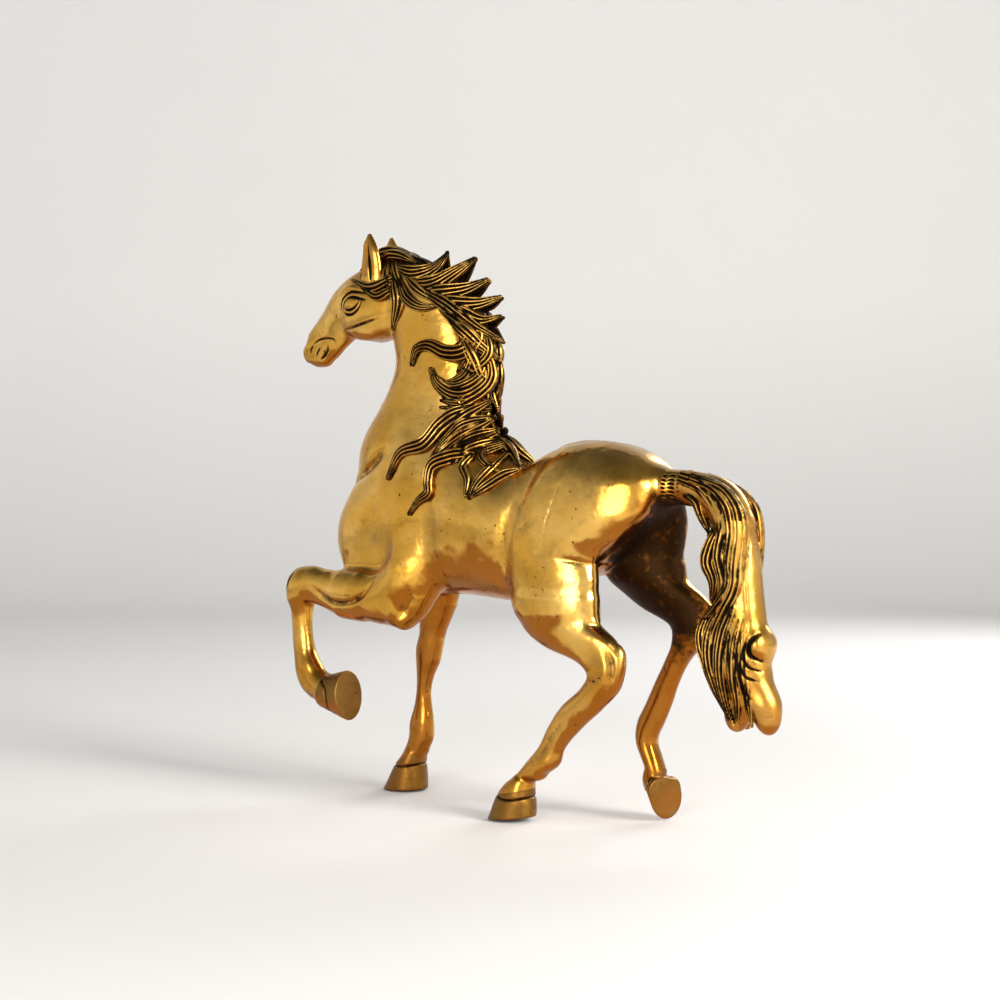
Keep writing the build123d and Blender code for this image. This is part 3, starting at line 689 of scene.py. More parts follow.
# The tail's body: its bend as in HEAD, its fall as in NECK, and balls (centre, radii, tilt)
TAIL_BEND = [
    (96, 169.7, 96, 153, 0, 7.2), (105, 168.4, 102, 152, 0, 7.6), (113.5, 166.6, 106, 150, 0, 8.4),
    (121.5, 162.5, 109, 147.6, 0, 9), (127.5, 155.4, 111.5, 143, 0, 9.4),
    (131.5, 145, 112.5, 139, 0, 9.6),
]
TAIL_FALL = [
    (146, 113.5, 130.5, 0, 9.2), (138, 112.5, 132.2, 0, 9.4), (127, 111.5, 134, 0, 9.8),
    (116, 113.5, 135.2, 0, 10), (110, 113, 135.8, 0, 10.2), (101, 109, 137, 0, 10.8),
    (92, 109.4, 138.4, 0, 11.2), (80, 112, 139.6, 0, 10.8), (70, 115.4, 141, 0, 9.6),
    (64, 118, 142.6, 0, 8.4),
]
TAIL_LOBES = [((124, 0, 60), (6.6, 7, 10.6), -8), ((138.2, 0, 60.5), (6.6, 7, 11.4), 8),
              ((136.4, 0, 90), (4.8, 9.6, 6.4), 0)]
# (x, z) route, Y, width, strands, how full the lock is at its root
TAIL_LOCKS = [
    ([(97, 166.5), (108, 162.5), (115, 155), (118, 146), (111, 139)], 6.0, 9, 4, 0.8),
    ([(99, 158.5), (105, 154.5), (107.5, 148), (110.6, 140)], 5.0, 5.4, 3, 0.6),
    ([(104, 166.6), (116, 161.3), (121.5, 153), (123.5, 142), (121.5, 131), (116, 123)],
     7.0, 7, 4, 0.7),
    ([(117, 145), (113, 134), (111.6, 127), (114.2, 119), (112.6, 109)], 6.8, 8, 4, 0.3),
    ([(104, 165.6), (117, 160.6), (124, 152.6), (126, 142), (124, 128), (122.6, 116),
      (116, 107.5), (107.5, 99)], 8.0, 7.6, 3, 0.6),
    ([(110, 164.8), (121, 160.6), (128, 152), (129.8, 142), (128.4, 128), (127, 115), (121.4, 105),
      (116, 94), (114.6, 82.6), (117, 69), (123.5, 56)], 8.8, 7, 3, 0.5),
    ([(128.6, 124), (126, 108), (121, 94), (119, 79), (121, 65), (125, 52)], 9.4, 7.4, 4, 0.2),
    ([(130.4, 114), (129.4, 102), (127, 90), (126.2, 76), (127.6, 62), (126.5, 52)],
     9.2, 6.8, 3, 0.2),
    ([(132.4, 108), (131.4, 98), (131.2, 88), (131.4, 77), (133, 65), (134, 54)],
     8.8, 6.2, 3, 0.2),
    ([(112, 106), (108.6, 94), (112, 81), (116.6, 68), (122, 57)], 6.8, 8, 4, 0.4),
    ([(117, 157), (120, 142), (118, 130), (119.6, 118), (116, 108)], 7.8, 6.6, 3, 0.2),
    ([(121, 110), (115, 98), (113.4, 84), (117, 69), (121.5, 57)], 8.2, 7.6, 4, 0.2),
]
# (x, z) lines cut into the worn outer edge: depth, width, darkness, line
TAIL_LINES = [
    (1.3, 0.9, 1.0, [(137.2, 95), (134.6, 90.6), (134.6, 86), (138, 83)]),
    (0.8, 0.5, 0.9, [(133.4, 93), (131.8, 86), (134, 80.4), (138.4, 78.4)]),
    (0.8, 0.5, 0.9, [(131.8, 88), (130.6, 80.6), (133, 75.8), (137.4, 74)]),
    (0.8, 0.5, 0.9, [(130.8, 82), (129.8, 75), (131.8, 70), (134.6, 66)]),
    (0.5, 0.4, 0.3, [(121, 163), (129, 155), (132, 142), (131.4, 126), (132, 112), (133.4, 100)]),
    (1.2, 0.8, 0.8, [(131.2, 74), (132, 65), (131, 54)]),
]


# ---------------------------------------------------------------- from fields to meshes

class Cut:
    """A joint face, where the sculpture's surface is cut; low and high bound what it cuts."""

    def __init__(self, point, normal, low=(-400, -400, -400), high=(400, 400, 400)):
        self.point = np.array(point, float)
        normal = np.array(normal, float)
        self.normal = normal / np.linalg.norm(normal)
        self.low = np.array(low, float)
        self.high = np.array(high, float)

    def side(self, points):
        return (points - self.point) @ self.normal


def across(line, y=0.0):
    """Point and normal of the plane through two (x, z) points, square to the side profile."""
    (x0, z0), (x1, z1) = line
    return ((x0 + x1) / 2, y, (z0 + z1) / 2), (z1 - z0, 0, x0 - x1)


def surface(field, adaptivity):
    """The field's surface as points in millimetres and triangles."""
    grid = openvdb.FloatGrid(field.LIMIT)
    grid.copyFromArray(np.clip(field.values, -field.LIMIT, field.LIMIT))
    points, triangles, quads = grid.convertToPolygons(0.0, adaptivity)
    points = points * field.pitch + field.low
    triangles = np.concatenate([triangles.reshape(-1, 3), quads[:, [0, 1, 2]], quads[:, [0, 2, 3]]])
    triangles = triangles.astype(np.int64)
    corners = points[triangles]
    size = np.linalg.norm(np.cross(corners[:, 1] - corners[:, 0], corners[:, 2] - corners[:, 0]),
                          axis=1)
    return points, triangles[size > 1e-9]


def slice_surface(points, triangles, cut):
    """Splits the triangles that a joint face passes through, so that none straddles it."""
    gap = cut.side(points)
    gap[np.abs(gap) < 1e-3] = 0
    sides = np.sign(gap)[triangles]
    middle = points[triangles].mean(axis=1)
    inside = ((middle > cut.low) & (middle < cut.high)).all(axis=1)
    crossed = inside & (sides.min(axis=1) < 0) & (sides.max(axis=1) > 0)
    made = {}
    extra = []
    new_triangles = []

    def on_edge(a, b):
        key = (min(a, b), max(a, b))
        if key not in made:
            low, high = key
            share = gap[low] / (gap[low] - gap[high])
            made[key] = len(points) + len(extra)
            extra.append(points[low] + share * (points[high] - points[low]))
        return made[key]

    for triangle in triangles[crossed].tolist():
        for wanted in (-1, 1):
            ring = []
            for a, b in zip(triangle, triangle[1:] + triangle[:1]):
                if gap[a] * wanted >= 0:
                    ring.append(a)
                if gap[a] * gap[b] < 0:
                    ring.append(on_edge(a, b))
            for k in range(1, len(ring) - 1):
                new_triangles.append((ring[0], ring[k], ring[k + 1]))
    if not extra:
        return points, triangles
    points = np.concatenate([points, np.array(extra)])
    triangles = np.concatenate([triangles[~crossed], np.array(new_triangles)])
    return points, triangles


def joint_caps(points, triangles, cuts, corner=None):
    """Rings of points that close a piece where it was cut, each with its cut."""
    edges = np.concatenate([triangles[:, [0, 1]], triangles[:, [1, 2]], triangles[:, [2, 0]]])
    names = {tuple(edge) for edge in edges.tolist()}
    open_edges = [edge for edge in names if (edge[1], edge[0]) not in names]
    caps = []
    for cut in cuts:
        gap = np.abs(cut.side(points))
        after = {a: b for b, a in open_edges if gap[a] < 5e-3 and gap[b] < 5e-3}
        while after:
            starts = set(after) - set(after.values())
            here = min(starts) if starts else min(after)
            ring = [here]
            while here in after:
                here = after.pop(here)
                ring.append(here)
            if ring[0] == ring[-1]:
                ring = ring[:-1]
            elif corner is not None and abs(cut.side(corner[None, :])[0]) < 5e-3:
                ring.append(-1)
            if len(ring) > 8:
                caps.append((ring, cut))
    return caps


def patina_and_painted_shade(points, normals):
    """How much brown and painted shade each point gets, from 0 to 1: brown patina and painted shade on
    the inner sides of the legs, browner towards the ground, painted shade on the ears and the top of the
    head and under the dock, and most of all between the thighs, under the tail."""
    x, y, z = points.T
    inward = -np.sign(y) * normals[:, 1] * 1.6 + 0.15
    inward = np.clip(inward - (y < 0) * (0.4 + 0.8 * np.maximum(normals[:, 0], 0)), 0, 1)
    legs = np.clip((np.abs(y) - 3) / 5, 0, 1) * np.clip((172 - z) / 20, 0, 1)
    # Painted shade between the thighs and under the tail
    thighs = np.exp(-(((x - 76) / 26) ** 2 + ((z - 128) / 36) ** 2) * 1.2)
    rear = np.clip((x - 30) / 30, 0, 1) * np.clip(0.6 - normals[:, 2], 0, 1)
    under_tail = thighs * rear * np.clip((y + 14) / 8, 0, 1)
    under_tail = under_tail * np.clip(1 - 2.5 * (y > 6) * np.maximum(normals[:, 1], 0), 0, 1)
    # Painted shade under the dock
    dock = np.exp(-(((x - 90) / 9) ** 2 + ((z - 153) / 6) ** 2))
    low_down = 0.26 * np.clip((104 - z) / 30, 0, 1)
    # Painted shade on the ears and the top of the head
    ears = 0.3 * ((z > 273) & (x < -79))
    thin = np.minimum(0.45 * inward * legs + low_down + ears, 0.42)
    return np.clip(thin + 0.7 * inward * legs * thighs + 2.0 * under_tail + 0.8 * dock, 0, 1)


def make_piece(name, field, points, triangles, cuts=(), corner=None):
    """A mesh piece, capped where it was cut and shaded by the field's own slope, so that joints
    don't show. Where two caps meet, a few edges inside the sculpture can stay open."""
    used, triangles = np.unique(triangles, return_inverse=True)
    triangles = triangles.reshape(-1, 3)
    points = points[used]
    caps = joint_caps(points, triangles, cuts, corner)
    if corner is not None:
        points = np.concatenate([points, corner[None, :]])
    faces = triangles.tolist()
    normals = field.normals(points)
    loop_normals = normals[triangles].reshape(-1, 3)
    for ring, cut in caps:
        ring = [index if index >= 0 else len(points) - 1 for index in ring]
        faces.append(ring)
        away = cut.normal if cut.side(points[:len(used)]).mean() < 0 else -cut.normal
        loop_normals = np.concatenate([loop_normals, np.tile(away, (len(ring), 1))])
    mesh = bpy.data.meshes.new(name)
    mesh.from_pydata((points * MM).tolist(), [], faces)
    mesh.polygons.foreach_set("use_smooth", np.ones(len(faces), bool))
    mesh.attributes.new("dark", "FLOAT", "POINT").data.foreach_set(
        "value", field.darkness(points).astype(np.float32))
    # This attribute holds brown patina on the legs' inner sides, and painted shade between the thighs,
    # under the tail and dock, and on the ears.
    mesh.attributes.new("patina_and_shade", "FLOAT", "POINT").data.foreach_set(
        "value", patina_and_painted_shade(points, normals).astype(np.float32))
    mesh.update()
    mesh.normals_split_custom_set(loop_normals.tolist())
    piece = bpy.data.objects.new(name, mesh)
    bpy.context.scene.collection.objects.link(piece)
    return piece


def add_piece(node, slot, field, points, triangles, cuts=(), corner=None):
    """Makes the piece that stands for a CAD node."""
    piece = make_piece(node + "_cast", field, points, triangles, cuts, corner)
    piece.data.materials.append(MATERIALS[slot])
    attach(piece, "root")
    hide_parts(node)


# ---------------------------------------------------------------- materials

class Nodes:
    """Small helper for laying out a material's nodes."""

    def __init__(self, name):
        self.material = bpy.data.materials.new(name)
        self.material.use_nodes = True
        self.tree = self.material.node_tree
        self.tree.nodes.clear()
        self.shader = self.add("ShaderNodeBsdfPrincipled")
        output = self.add("ShaderNodeOutputMaterial")
        self.join(self.shader, "BSDF", output, "Surface")
        place = self.add("ShaderNodeTexCoord")
        self.place = place.outputs["Object"]

    def add(self, kind, **settings):
        node = self.tree.nodes.new(kind)
        for key, value in settings.items():
            setattr(node, key, value)
        return node

    def join(self, start, out_name, end, in_name):
        self.tree.links.new(start.outputs[out_name], end.inputs[in_name])

    def feed(self, socket, value):
        if isinstance(value, (int, float)):
            socket.default_value = value
        elif isinstance(value, tuple):
            socket.default_value = value + (1,) if len(value) == 3 else value
        else:
            self.tree.links.new(value, socket)

    def noise(self, scale, detail=4.0, roughness=0.55, stretch=(1, 1, 1)):
        mapping = self.add("ShaderNodeMapping")
        self.feed(mapping.inputs["Vector"], self.place)
        mapping.inputs["Scale"].default_value = stretch
        node = self.add("ShaderNodeTexNoise")
        self.feed(node.inputs["Vector"], mapping.outputs["Vector"])
        node.inputs["Scale"].default_value = scale
        node.inputs["Detail"].default_value = detail
        node.inputs["Roughness"].default_value = roughness
        return node.outputs["Fac"]

    def steps(self, value, low, high, out_low=0.0, out_high=1.0):
        node = self.add("ShaderNodeMapRange", interpolation_type="SMOOTHSTEP")
        self.feed(node.inputs["Value"], value)
        node.inputs["From Min"].default_value = low
        node.inputs["From Max"].default_value = high
        node.inputs["To Min"].default_value = out_low
        node.inputs["To Max"].default_value = out_high
        return node.outputs["Result"]

    def math(self, operation, a, b, clamp=True):
        node = self.add("ShaderNodeMath", operation=operation, use_clamp=clamp)
        self.feed(node.inputs[0], a)
        self.feed(node.inputs[1], b)
        return node.outputs[0]

    def mix(self, share, first, second, kind="RGBA"):
        node = self.add("ShaderNodeMix", data_type=kind)
        self.feed(node.inputs["Factor"], share)
        self.feed(node.inputs["A"], first)
        self.feed(node.inputs["B"], second)
        return node.outputs["Result"]


# BROWN is the painted warm reflection on down-facing surfaces, and the brown patina and painted shade on
# the legs; BLACK is the patina in cuts and the painted shade in crevices and under the tail.
BROWN = (0.34, 0.105, 0.010)
BLACK = (0.014, 0.008, 0.004)
CLOUDED = (0.36, 0.20, 0.05)
# Painted dark reflection on surfaces that face up
TOP_PAINTED_REFLECTION = (0.26, 0.15, 0.045)
PITTED = (0.05, 0.025, 0.01)


def brass(name, light, deep, shine, dark_from, dark_to, grain=0.12, lines=0.0, brown=0.92):
    """Cast brass: colour that drifts, clouds and pits, dark patina in what is cut in, painted warm
    reflection on faces that look down, painted dark reflection on faces that look up, and brown patina
    with painted shade in crevices, between the legs and under the tail.
    """
    n = Nodes(name)
    drift = n.steps(n.noise(26, 4, 0.6), 0.36, 0.64)
    colour = n.mix(drift, light, deep)
    cloud = n.steps(n.noise(48, 8, 0.68), 0.50, 0.72)
    colour = n.mix(n.math("MULTIPLY", cloud, 0.55), colour, CLOUDED)
    # Painted warm reflection: surfaces that face down turn brown, as though a warm floor shone in them,
    # less so high up on the neck and head.
    geometry = n.add("ShaderNodeNewGeometry")
    split = n.add("ShaderNodeSeparateXYZ")
    n.feed(split.inputs[0], geometry.outputs["Normal"])
    edge = n.steps(n.noise(60, 3), 0.3, 0.7, -0.16, 0.16)
    height = n.math("ADD", split.outputs["Z"], edge, clamp=False)
    place = n.add("ShaderNodeSeparateXYZ")
    n.feed(place.inputs[0], n.place)
    fade_high_up = n.steps(place.outputs["Z"], 0.19, 0.225, 0.0, 0.26)
    under = n.steps(n.math("ADD", height, fade_high_up, clamp=False), -0.16, -0.34)
    colour = n.mix(n.math("MULTIPLY", under, 0.9), colour, BROWN)
    # Painted dark reflection: surfaces that face up turn dull brown, as though a dark ceiling shone in
    # them.
    above = n.steps(height, 0.55, 0.98)
    colour = n.mix(n.math("MULTIPLY", above, 0.6), colour, TOP_PAINTED_REFLECTION)
    # Brown from the mesh attribute: patina on the legs' inner sides, and painted shade between the
    # thighs, under the tail and dock, and on the ears.
    patina_and_shade = n.add("ShaderNodeAttribute", attribute_name="patina_and_shade")
    colour = n.mix(n.steps(patina_and_shade.outputs["Fac"], 0.05, 0.5, 0.0, brown), colour, BROWN)
    pits = n.steps(n.noise(430, 2, 0.5), 0.66, 0.72)
    rare = n.steps(n.noise(70, 2), 0.50, 0.60)
    colour = n.mix(n.math("MULTIPLY", pits, rare), colour, PITTED)
    # Occlusion darkens crevices and narrow gaps: patina in the crevices, and painted shade where parts
    # close in, as between the thighs.
    shade = n.add("ShaderNodeAmbientOcclusion", samples=6)
    shade.inputs["Distance"].default_value = 0.009
    crevice = n.steps(shade.outputs["AO"], 0.60, 0.15)
    cut = n.add("ShaderNodeAttribute", attribute_name="dark")
    uneven = n.steps(n.noise(190, 6, 0.65), 0.3, 0.7, -0.16, 0.16)
    mottled = n.math("ADD", patina_and_shade.outputs["Fac"], uneven, clamp=False)
    dark = n.math("ADD", cut.outputs["Fac"], uneven, clamp=False)
    dark = n.steps(dark, dark_from, dark_to)
    dark = n.math("MAXIMUM", dark, n.math("MULTIPLY", crevice, 0.85))
    # Near-black painted shade where the attribute is strongest: between the thighs and under the tail.
    deep_painted_shade = n.math("MULTIPLY", n.steps(mottled, 0.55, 0.95), 0.95)
    dark = n.math("MAXIMUM", dark, deep_painted_shade)
    colour = n.mix(dark, colour, BLACK)
    n.feed(n.shader.inputs["Base Color"], colour)
    n.shader.inputs["Metallic"].default_value = 1.0
    rough = n.steps(n.noise(45, 6, 0.6), 0.3, 0.7, shine, shine + 0.14)
    n.feed(n.shader.inputs["Roughness"], n.mix(dark, rough, 0.55, "FLOAT"))
    cast = n.add("ShaderNodeBump")
    cast.inputs["Strength"].default_value = 0.6
    cast.inputs["Distance"].default_value = 0.0017
    n.feed(cast.inputs["Height"], n.noise(50, 3, 0.5))
    fine = n.add("ShaderNodeBump")
    fine.inputs["Strength"].default_value = grain
    fine.inputs["Distance"].default_value = 0.00025
    texture = n.noise(700, 4, 0.6)
    if lines:
        sanded = n.noise(260, 3, 0.6, (0.25, 0.25, 5.0))
        texture = n.mix(lines, texture, sanded, "FLOAT")
    n.feed(fine.inputs["Height"], texture)
    n.feed(fine.inputs["Normal"], cast.outputs["Normal"])
    n.feed(n.shader.inputs["Normal"], fine.outputs["Normal"])
    return n.material


def plain(name, colour, roughness):
    n = Nodes(name)
    n.feed(n.shader.inputs["Base Color"], n.mix(n.noise(3, 2), colour, tuple(c * 0.97 for c in colour)))
    n.feed(n.shader.inputs["Roughness"], roughness)
    return n.material


MATERIALS = {
    "polished_brass": brass("polished_brass", (0.84, 0.50, 0.12), (0.66, 0.34, 0.045),
                            shine=0.15, dark_from=0.12, dark_to=0.55),
    "antiqued_brass": brass("antiqued_brass", (0.80, 0.48, 0.12), (0.54, 0.27, 0.04),
                            shine=0.22, dark_from=0.08, dark_to=0.50),
    "satin_brass": brass("satin_brass", (0.29, 0.155, 0.038), (0.18, 0.092, 0.017), shine=0.33,
                         dark_from=0.15, dark_to=0.6, grain=0.5, lines=0.8, brown=0.3),
}


# ---------------------------------------------------------------- sculpting

def build_skin():
    """Body, neck and legs, and the hooves' shapes, in one coarse field."""
    field = Field((-141, -36, -8), (106, 36, 291), COARSE)
    add_skin(field)
    for hoof in HOOVES:
        add_hoof(field, hoof)
    field.soften(3)
    engrave_skin(field)
    return field


def add_hoof(field, hoof):
    """Adds a hoof and cuts it off flat, at its sole and at the ground."""
    form, inside, ((x0, z0), (x1, z1)), turn = HOOVES[hoof]
    field.add(form, 1.4)
    for centre in HEELS.get(hoof, ()):
        field.add(Ball(centre, HEEL_SIZE), 2)
    angle = math.radians(turn)
    along = np.array([x1 - x0, 0, z1 - z0])
    width = np.array([math.sin(angle), math.cos(angle), 0])
    normal = np.cross(along, width)
    normal /= np.linalg.norm(normal)
    point = np.array([(x0 + x1) / 2, inside[1], (z0 + z1) / 2])
    if (np.array(inside) - point) @ normal > 0:
        normal = -normal
    slices, (xs, ys, zs) = field.window(*form.reach(6))
    if min(len(xs), len(ys), len(zs)) < 2:
        return
    beyond = (xs - point[0])[:, None, None] * normal[0]
    beyond = beyond + (ys - point[1])[None, :, None] * normal[1]
    beyond = beyond + (zs - point[2])[None, None, :] * normal[2]
    beyond = np.maximum(beyond, -zs[None, None, :])
    field.values[slices] = np.maximum(field.values[slices], beyond.astype(np.float32))


# The corners of a box around each hoof, and the far hind leg's front edge
HOOF_BOXES = {
    "near_fore_hoof": (np.array([-117, -34, 34]), np.array([-88, -4, 72])),
    "far_fore_hoof": (np.array([-108, 3, -8]), np.array([-64, 36, 29])),
    "near_hind_hoof": (np.array([-10, -36, -8]), np.array([33, -4, 25])),
    "far_hind_hoof": (np.array([50, 3, -8]), np.array([90, 36, 33])),
}
FAR_HIND_X = 44.5


def region_labels(middle, cuts):
    """The name of the piece that each triangle of the coarse skin belongs to, by its middle."""
    x, y, z = middle.T
    names = np.where(y < 0, "body_near_half", "body_far_half").astype(object)
    names[(z > NECK_Z) & (x < NECK_BACK_X)] = "neck"
    names[(x < NEAR_FORE_X) & (cuts["fore_slope"].side(middle) > 0) & (z < 125)] = "near_foreleg"
    names[(z < FAR_FORE_Z) & (y > 5) & (x < -40)] = "far_foreleg"
    names[(z < NEAR_HIND_Z) & (y < -2) & (x > -10)] = "near_hindleg"
    names[(z < FAR_HIND_Z) & (y > 0) & (x > FAR_HIND_X)] = "far_hindleg"
    names[(x > DOCK_X) & (z > 130)] = ""
    names[(z > 225) & (cuts["poll"].side(middle) > 0)] = ""
    for hoof, box in HOOF_BOXES.items():
        near = ((middle > box[0]) & (middle < box[1])).all(axis=1)
        names[near & (cuts[hoof].side(middle) > 0)] = ""
    return names


def joint_cuts():
    cuts = {
        "middle": Cut((0, 0, 0), (0, 1, 0)),
        "neck": Cut((0, 0, NECK_Z), (0, 0, 1)),
        "neck_back": Cut((NECK_BACK_X, 0, 0), (1, 0, 0)),
        "fore_root": Cut((NEAR_FORE_X, 0, 0), (-1, 0, 0)),
        "fore_slope": Cut((-98, -12, 118), (0, -0.57, -1)),
        "far_fore": Cut((0, 0, FAR_FORE_Z), (0, 0, -1), (-200, 5, 60), (-40, 60, 140)),
        "near_hind": Cut((0, 0, NEAR_HIND_Z), (0, 0, -1), (-10, -60, 60), (100, -2, 140)),
        "far_hind": Cut((0, 0, FAR_HIND_Z), (0, 0, -1)),
        "far_hind_front": Cut((FAR_HIND_X, 0, 0), (1, 0, 0)),
        "dock": Cut((DOCK_X, 0, 0), (1, 0, 0), (60, -60, 130), (200, 60, 200)),
        "hair": Cut((HAIR_X, 0, 0), (1, 0, 0)),
    }
    point, normal = across(POLL_CUT)
    if normal[0] > 0:
        normal = tuple(-value for value in normal)
    cuts["poll"] = Cut(point, normal, (-200, -60, 225), (0, 60, 400))
    for hoof, line in CORONETS.items():
        side = NEAR if hoof.startswith("near") else FAR
        point, normal = across(line, side * 20)
        sole = HOOVES[hoof][2]
        towards = np.array([sole[0][0] + sole[1][0], 0, sole[0][1] + sole[1][1]]) / 2
        if (towards - np.array([point[0], 0, point[2]])) @ np.array(normal) < 0:
            normal = tuple(-value for value in normal)
        low, high = HOOF_BOXES[hoof]
        cuts[hoof] = Cut(point, normal, low, high)
    return cuts


def build_head():
    field = Field((-148, -19, 222), (-50, 19, 292), FINE)
    add_skin(field)
    field.soften(2)
    engrave_skin(field)
    return field


def build_foot(hoof):
    low, high = HOOF_BOXES[hoof]
    field = Field(low - 2, high + 6, FOOT_PITCH)
    add_skin(field)
    add_hoof(field, hoof)
    field.soften(1)
    field.engrave(HOOF_RINGS[hoof], 0, 0.8, 0.5, 0.62, fade=False)
    return field


def build_ear(side):
    field = Field((-102, min(side * 2, side * 17), 258), (-76, max(side * 2, side * 17), 299), EAR_PITCH)
    ear = [(262, -96, -82, side * 7, 4.2), (270, -96.4, -81.4, side * 7.6, 4.0),
           (279, -95.6, -81.6, side * 8.4, 3.6), (286, -94, -83, side * 8.9, 3.0),
           (291, -92.4, -85.4, side * 9, 2.2), (294.6, -90.4, -87.6, side * 9, 1.2)]
    field.add(Stack("z", ear, caps=(3, 1)), 0.1)
    hollow = [(268, -96, -91, side * 11.8, 1.2), (276, -96, -89, side * 12.6, 2.4),
              (284, -94.4, -88, side * 12.4, 2.2), (290, -91.6, -88.6, side * 11.2, 1.1)]
    field.cut(Stack("z", hollow, caps=(3, 2)), 1.0)
    for line in ([(-89, 290), (-87, 280), (-86.6, 270)], [(-93, 288), (-94.6, 279), (-95, 270)]):
        field.engrave(line, side, 1.1, 0.8)
    return field


def lay_locks(field, ground, side, locks, rng=None, thickness=2.6, depth=1.2):
    """Adds locks on one side. A list of Ys is kept; a number is a lift off the skin."""
    for route, height, width, strands in locks:
        route = np.array(route, float)
        if rng is not None:
            route = route + rng.uniform(-1.2, 1.2, route.shape)
        if isinstance(height, list):
            ys = [side * abs(value) for value in height]
        else:
            ys = on_ground(ground, route, side, height)
        comb(field, Lock(route, ys, width, thickness, strands), depth=depth)


def build_hair(skin):
    """The mane's pieces, each from its own field."""
    fields = {}
    rng = np.random.default_rng(7)
    ground = Field(skin.low, skin.low, skin.pitch)
    ground.values = skin.values.copy()
    ground.add(Sweep(COMB_BASE), 2)
    crest = Field((-82, -13, 196), (0, 13, 290), HAIR_PITCH)
    comb(crest, Sweep([row[:5] + (row[5] * 0.6,) for row in COMB_BASE[:8]], caps=(2, 2), strands=9),
         patina_and_shade=0.4)
    for side, seed in ((FAR, rng), (NEAR, None)):
        lay_locks(crest, ground, side, CREST_SPIKES, seed, thickness=3.0)
    fields["crest_mane"] = crest
    for side, node, seed in ((NEAR, "near_mane_locks", None), (FAR, "far_mane_locks", rng)):
        low, high = sorted((side * 1.0, side * 26.0))
        locks = Field((-112, low, 196), (-2, high, 288), HAIR_PITCH)
        comb(locks, Sweep(COMB_BASE[:9], caps=(2, 2), strands=9), patina_and_shade=0.4)
        lay_locks(locks, ground, side, NECK_LOCKS, seed)
        lay_locks(locks, ground, side, POLL_LOCKS, seed)
        fields[node] = locks
    withers = Field((-78, -35, 140), (20, 35, 212), HAIR_PITCH)
    comb(withers, Sweep(COMB_BASE[7:], caps=(3, 3), strands=9), patina_and_shade=0.4)
    for side, seed in ((FAR, rng), (NEAR, None)):
        lay_locks(withers, ground, side, WITHERS_LOCKS, seed)
    fields["withers_mane"] = withers
    forelock = Field((-112, -13, 262), (-54, 13, 292), FINE)
    for route, y, width, strands in FORELOCK:
        comb(forelock, Lock(route, [y] * len(route), width, 4.2, strands))
    fields["forelock"] = forelock
    return fields


def build_tail():
    """The dock with the haunches' end, and the hair of the tail."""
    dock = Field((80, -15, 145), (108, 15, 178), HAIR_PITCH)
    add_skin(dock)
    dock.soften(2)
    for z in HATCH_ROWS:
        for x in HATCH_COLUMNS:
            dash = [(x, z), (x + HATCH_LENGTH / 2, z + 0.1), (x + HATCH_LENGTH, z - 0.4)]
            for side in (NEAR, FAR):
                dock.engrave(dash, side, 0.6, 0.42, inner_y=2)
    hair = Field((94, -17, 42), (150, 17, 175), TAIL_PITCH)
    hair.add(Sweep(TAIL_BEND, caps=(1, 3)), 0.1)
    hair.add(Stack("z", TAIL_FALL, caps=(4, 5), egg=-0.16), 2)
    for centre, radii, tilt in TAIL_LOBES:
        hair.add(Ball(centre, radii, tilt), 5)
    rng = np.random.default_rng(11)
    for side in (FAR, NEAR):
        for route, y, width, strands, root in TAIL_LOCKS:
            route = np.array(route, float)
            if side == FAR:
                route = route + rng.uniform(-1.2, 0.3, route.shape)
            share = np.linspace(0, 1, len(route))
            sink = 1 - 0.35 * (root < 0.5) * (1 - share) ** 3 - 0.3 * share ** 4
            lock = Lock(route, side * y * sink, width, 3.2, strands, root=root, tip=0.3)
            comb(hair, lock, 0.6, 1.15)
    # The outer edge is worn bright
    xs = hair.low[0] + hair.pitch * np.arange(hair.dark.shape[0])
    zs = hair.low[2] + hair.pitch * np.arange(hair.dark.shape[2])
    fall = np.array(sorted(TAIL_FALL), float)
    edge = np.where(zs < 146, np.interp(zs, fall[:, 0], fall[:, 2]), 400)
    kept = np.clip((edge[None, :] - 1.5 - xs[:, None]) / 9, 0.12, 1)
    kept = kept * np.clip((zs[None, :] - 50) / 8, 0.3, 1)
    hair.dark *= kept[:, None, :].astype(np.float32)
    for depth, width, dark, line in TAIL_LINES:
        for side in (NEAR, FAR):
            hair.engrave(line, side, depth, width, dark, inner_y=3.5)
    return dock, hair


# ---------------------------------------------------------------- the horse

cuts = joint_cuts()


def cut_surface(field, names):
    """A field's surface, split at some joint faces, and the middles of its triangles."""
    points, triangles = surface(field, SMOOTHING)
    for name in names:
        points, triangles = slice_surface(points, triangles, cuts[name])
    return points, triangles, points[triangles].mean(axis=1)


skin = build_skin()
points, triangles, middle = cut_surface(skin, [name for name in cuts if name != "hair"])
names = region_labels(middle, cuts)
corner = np.array([NECK_BACK_X, 0, NECK_Z])
for node in ("body_near_half", "body_far_half", "neck", "near_foreleg", "far_foreleg",
             "near_hindleg", "far_hindleg"):
    halves = corner if node.startswith("body") else None
    mine = triangles[names == node]
    add_piece(node, "polished_brass", skin, points, mine, cuts.values(), halves)

head = build_head()
points, triangles, middle = cut_surface(head, ["poll"])
mine = triangles[cuts["poll"].side(middle) > 0]
add_piece("head", "polished_brass", head, points, mine, [cuts["poll"]])

for hoof in HOOVES:
    foot = build_foot(hoof)
    points, triangles, middle = cut_surface(foot, [hoof])
    mine = triangles[cuts[hoof].side(middle) > 0]
    add_piece(hoof, "satin_brass", foot, points, mine, [cuts[hoof]])

for node, side in (("near_ear", NEAR), ("far_ear", FAR)):
    ear = build_ear(side)
    add_piece(node, "polished_brass", ear, *surface(ear, SMOOTHING))

for node, field in build_hair(skin).items():
    add_piece(node, "antiqued_brass", field, *surface(field, SMOOTHING))

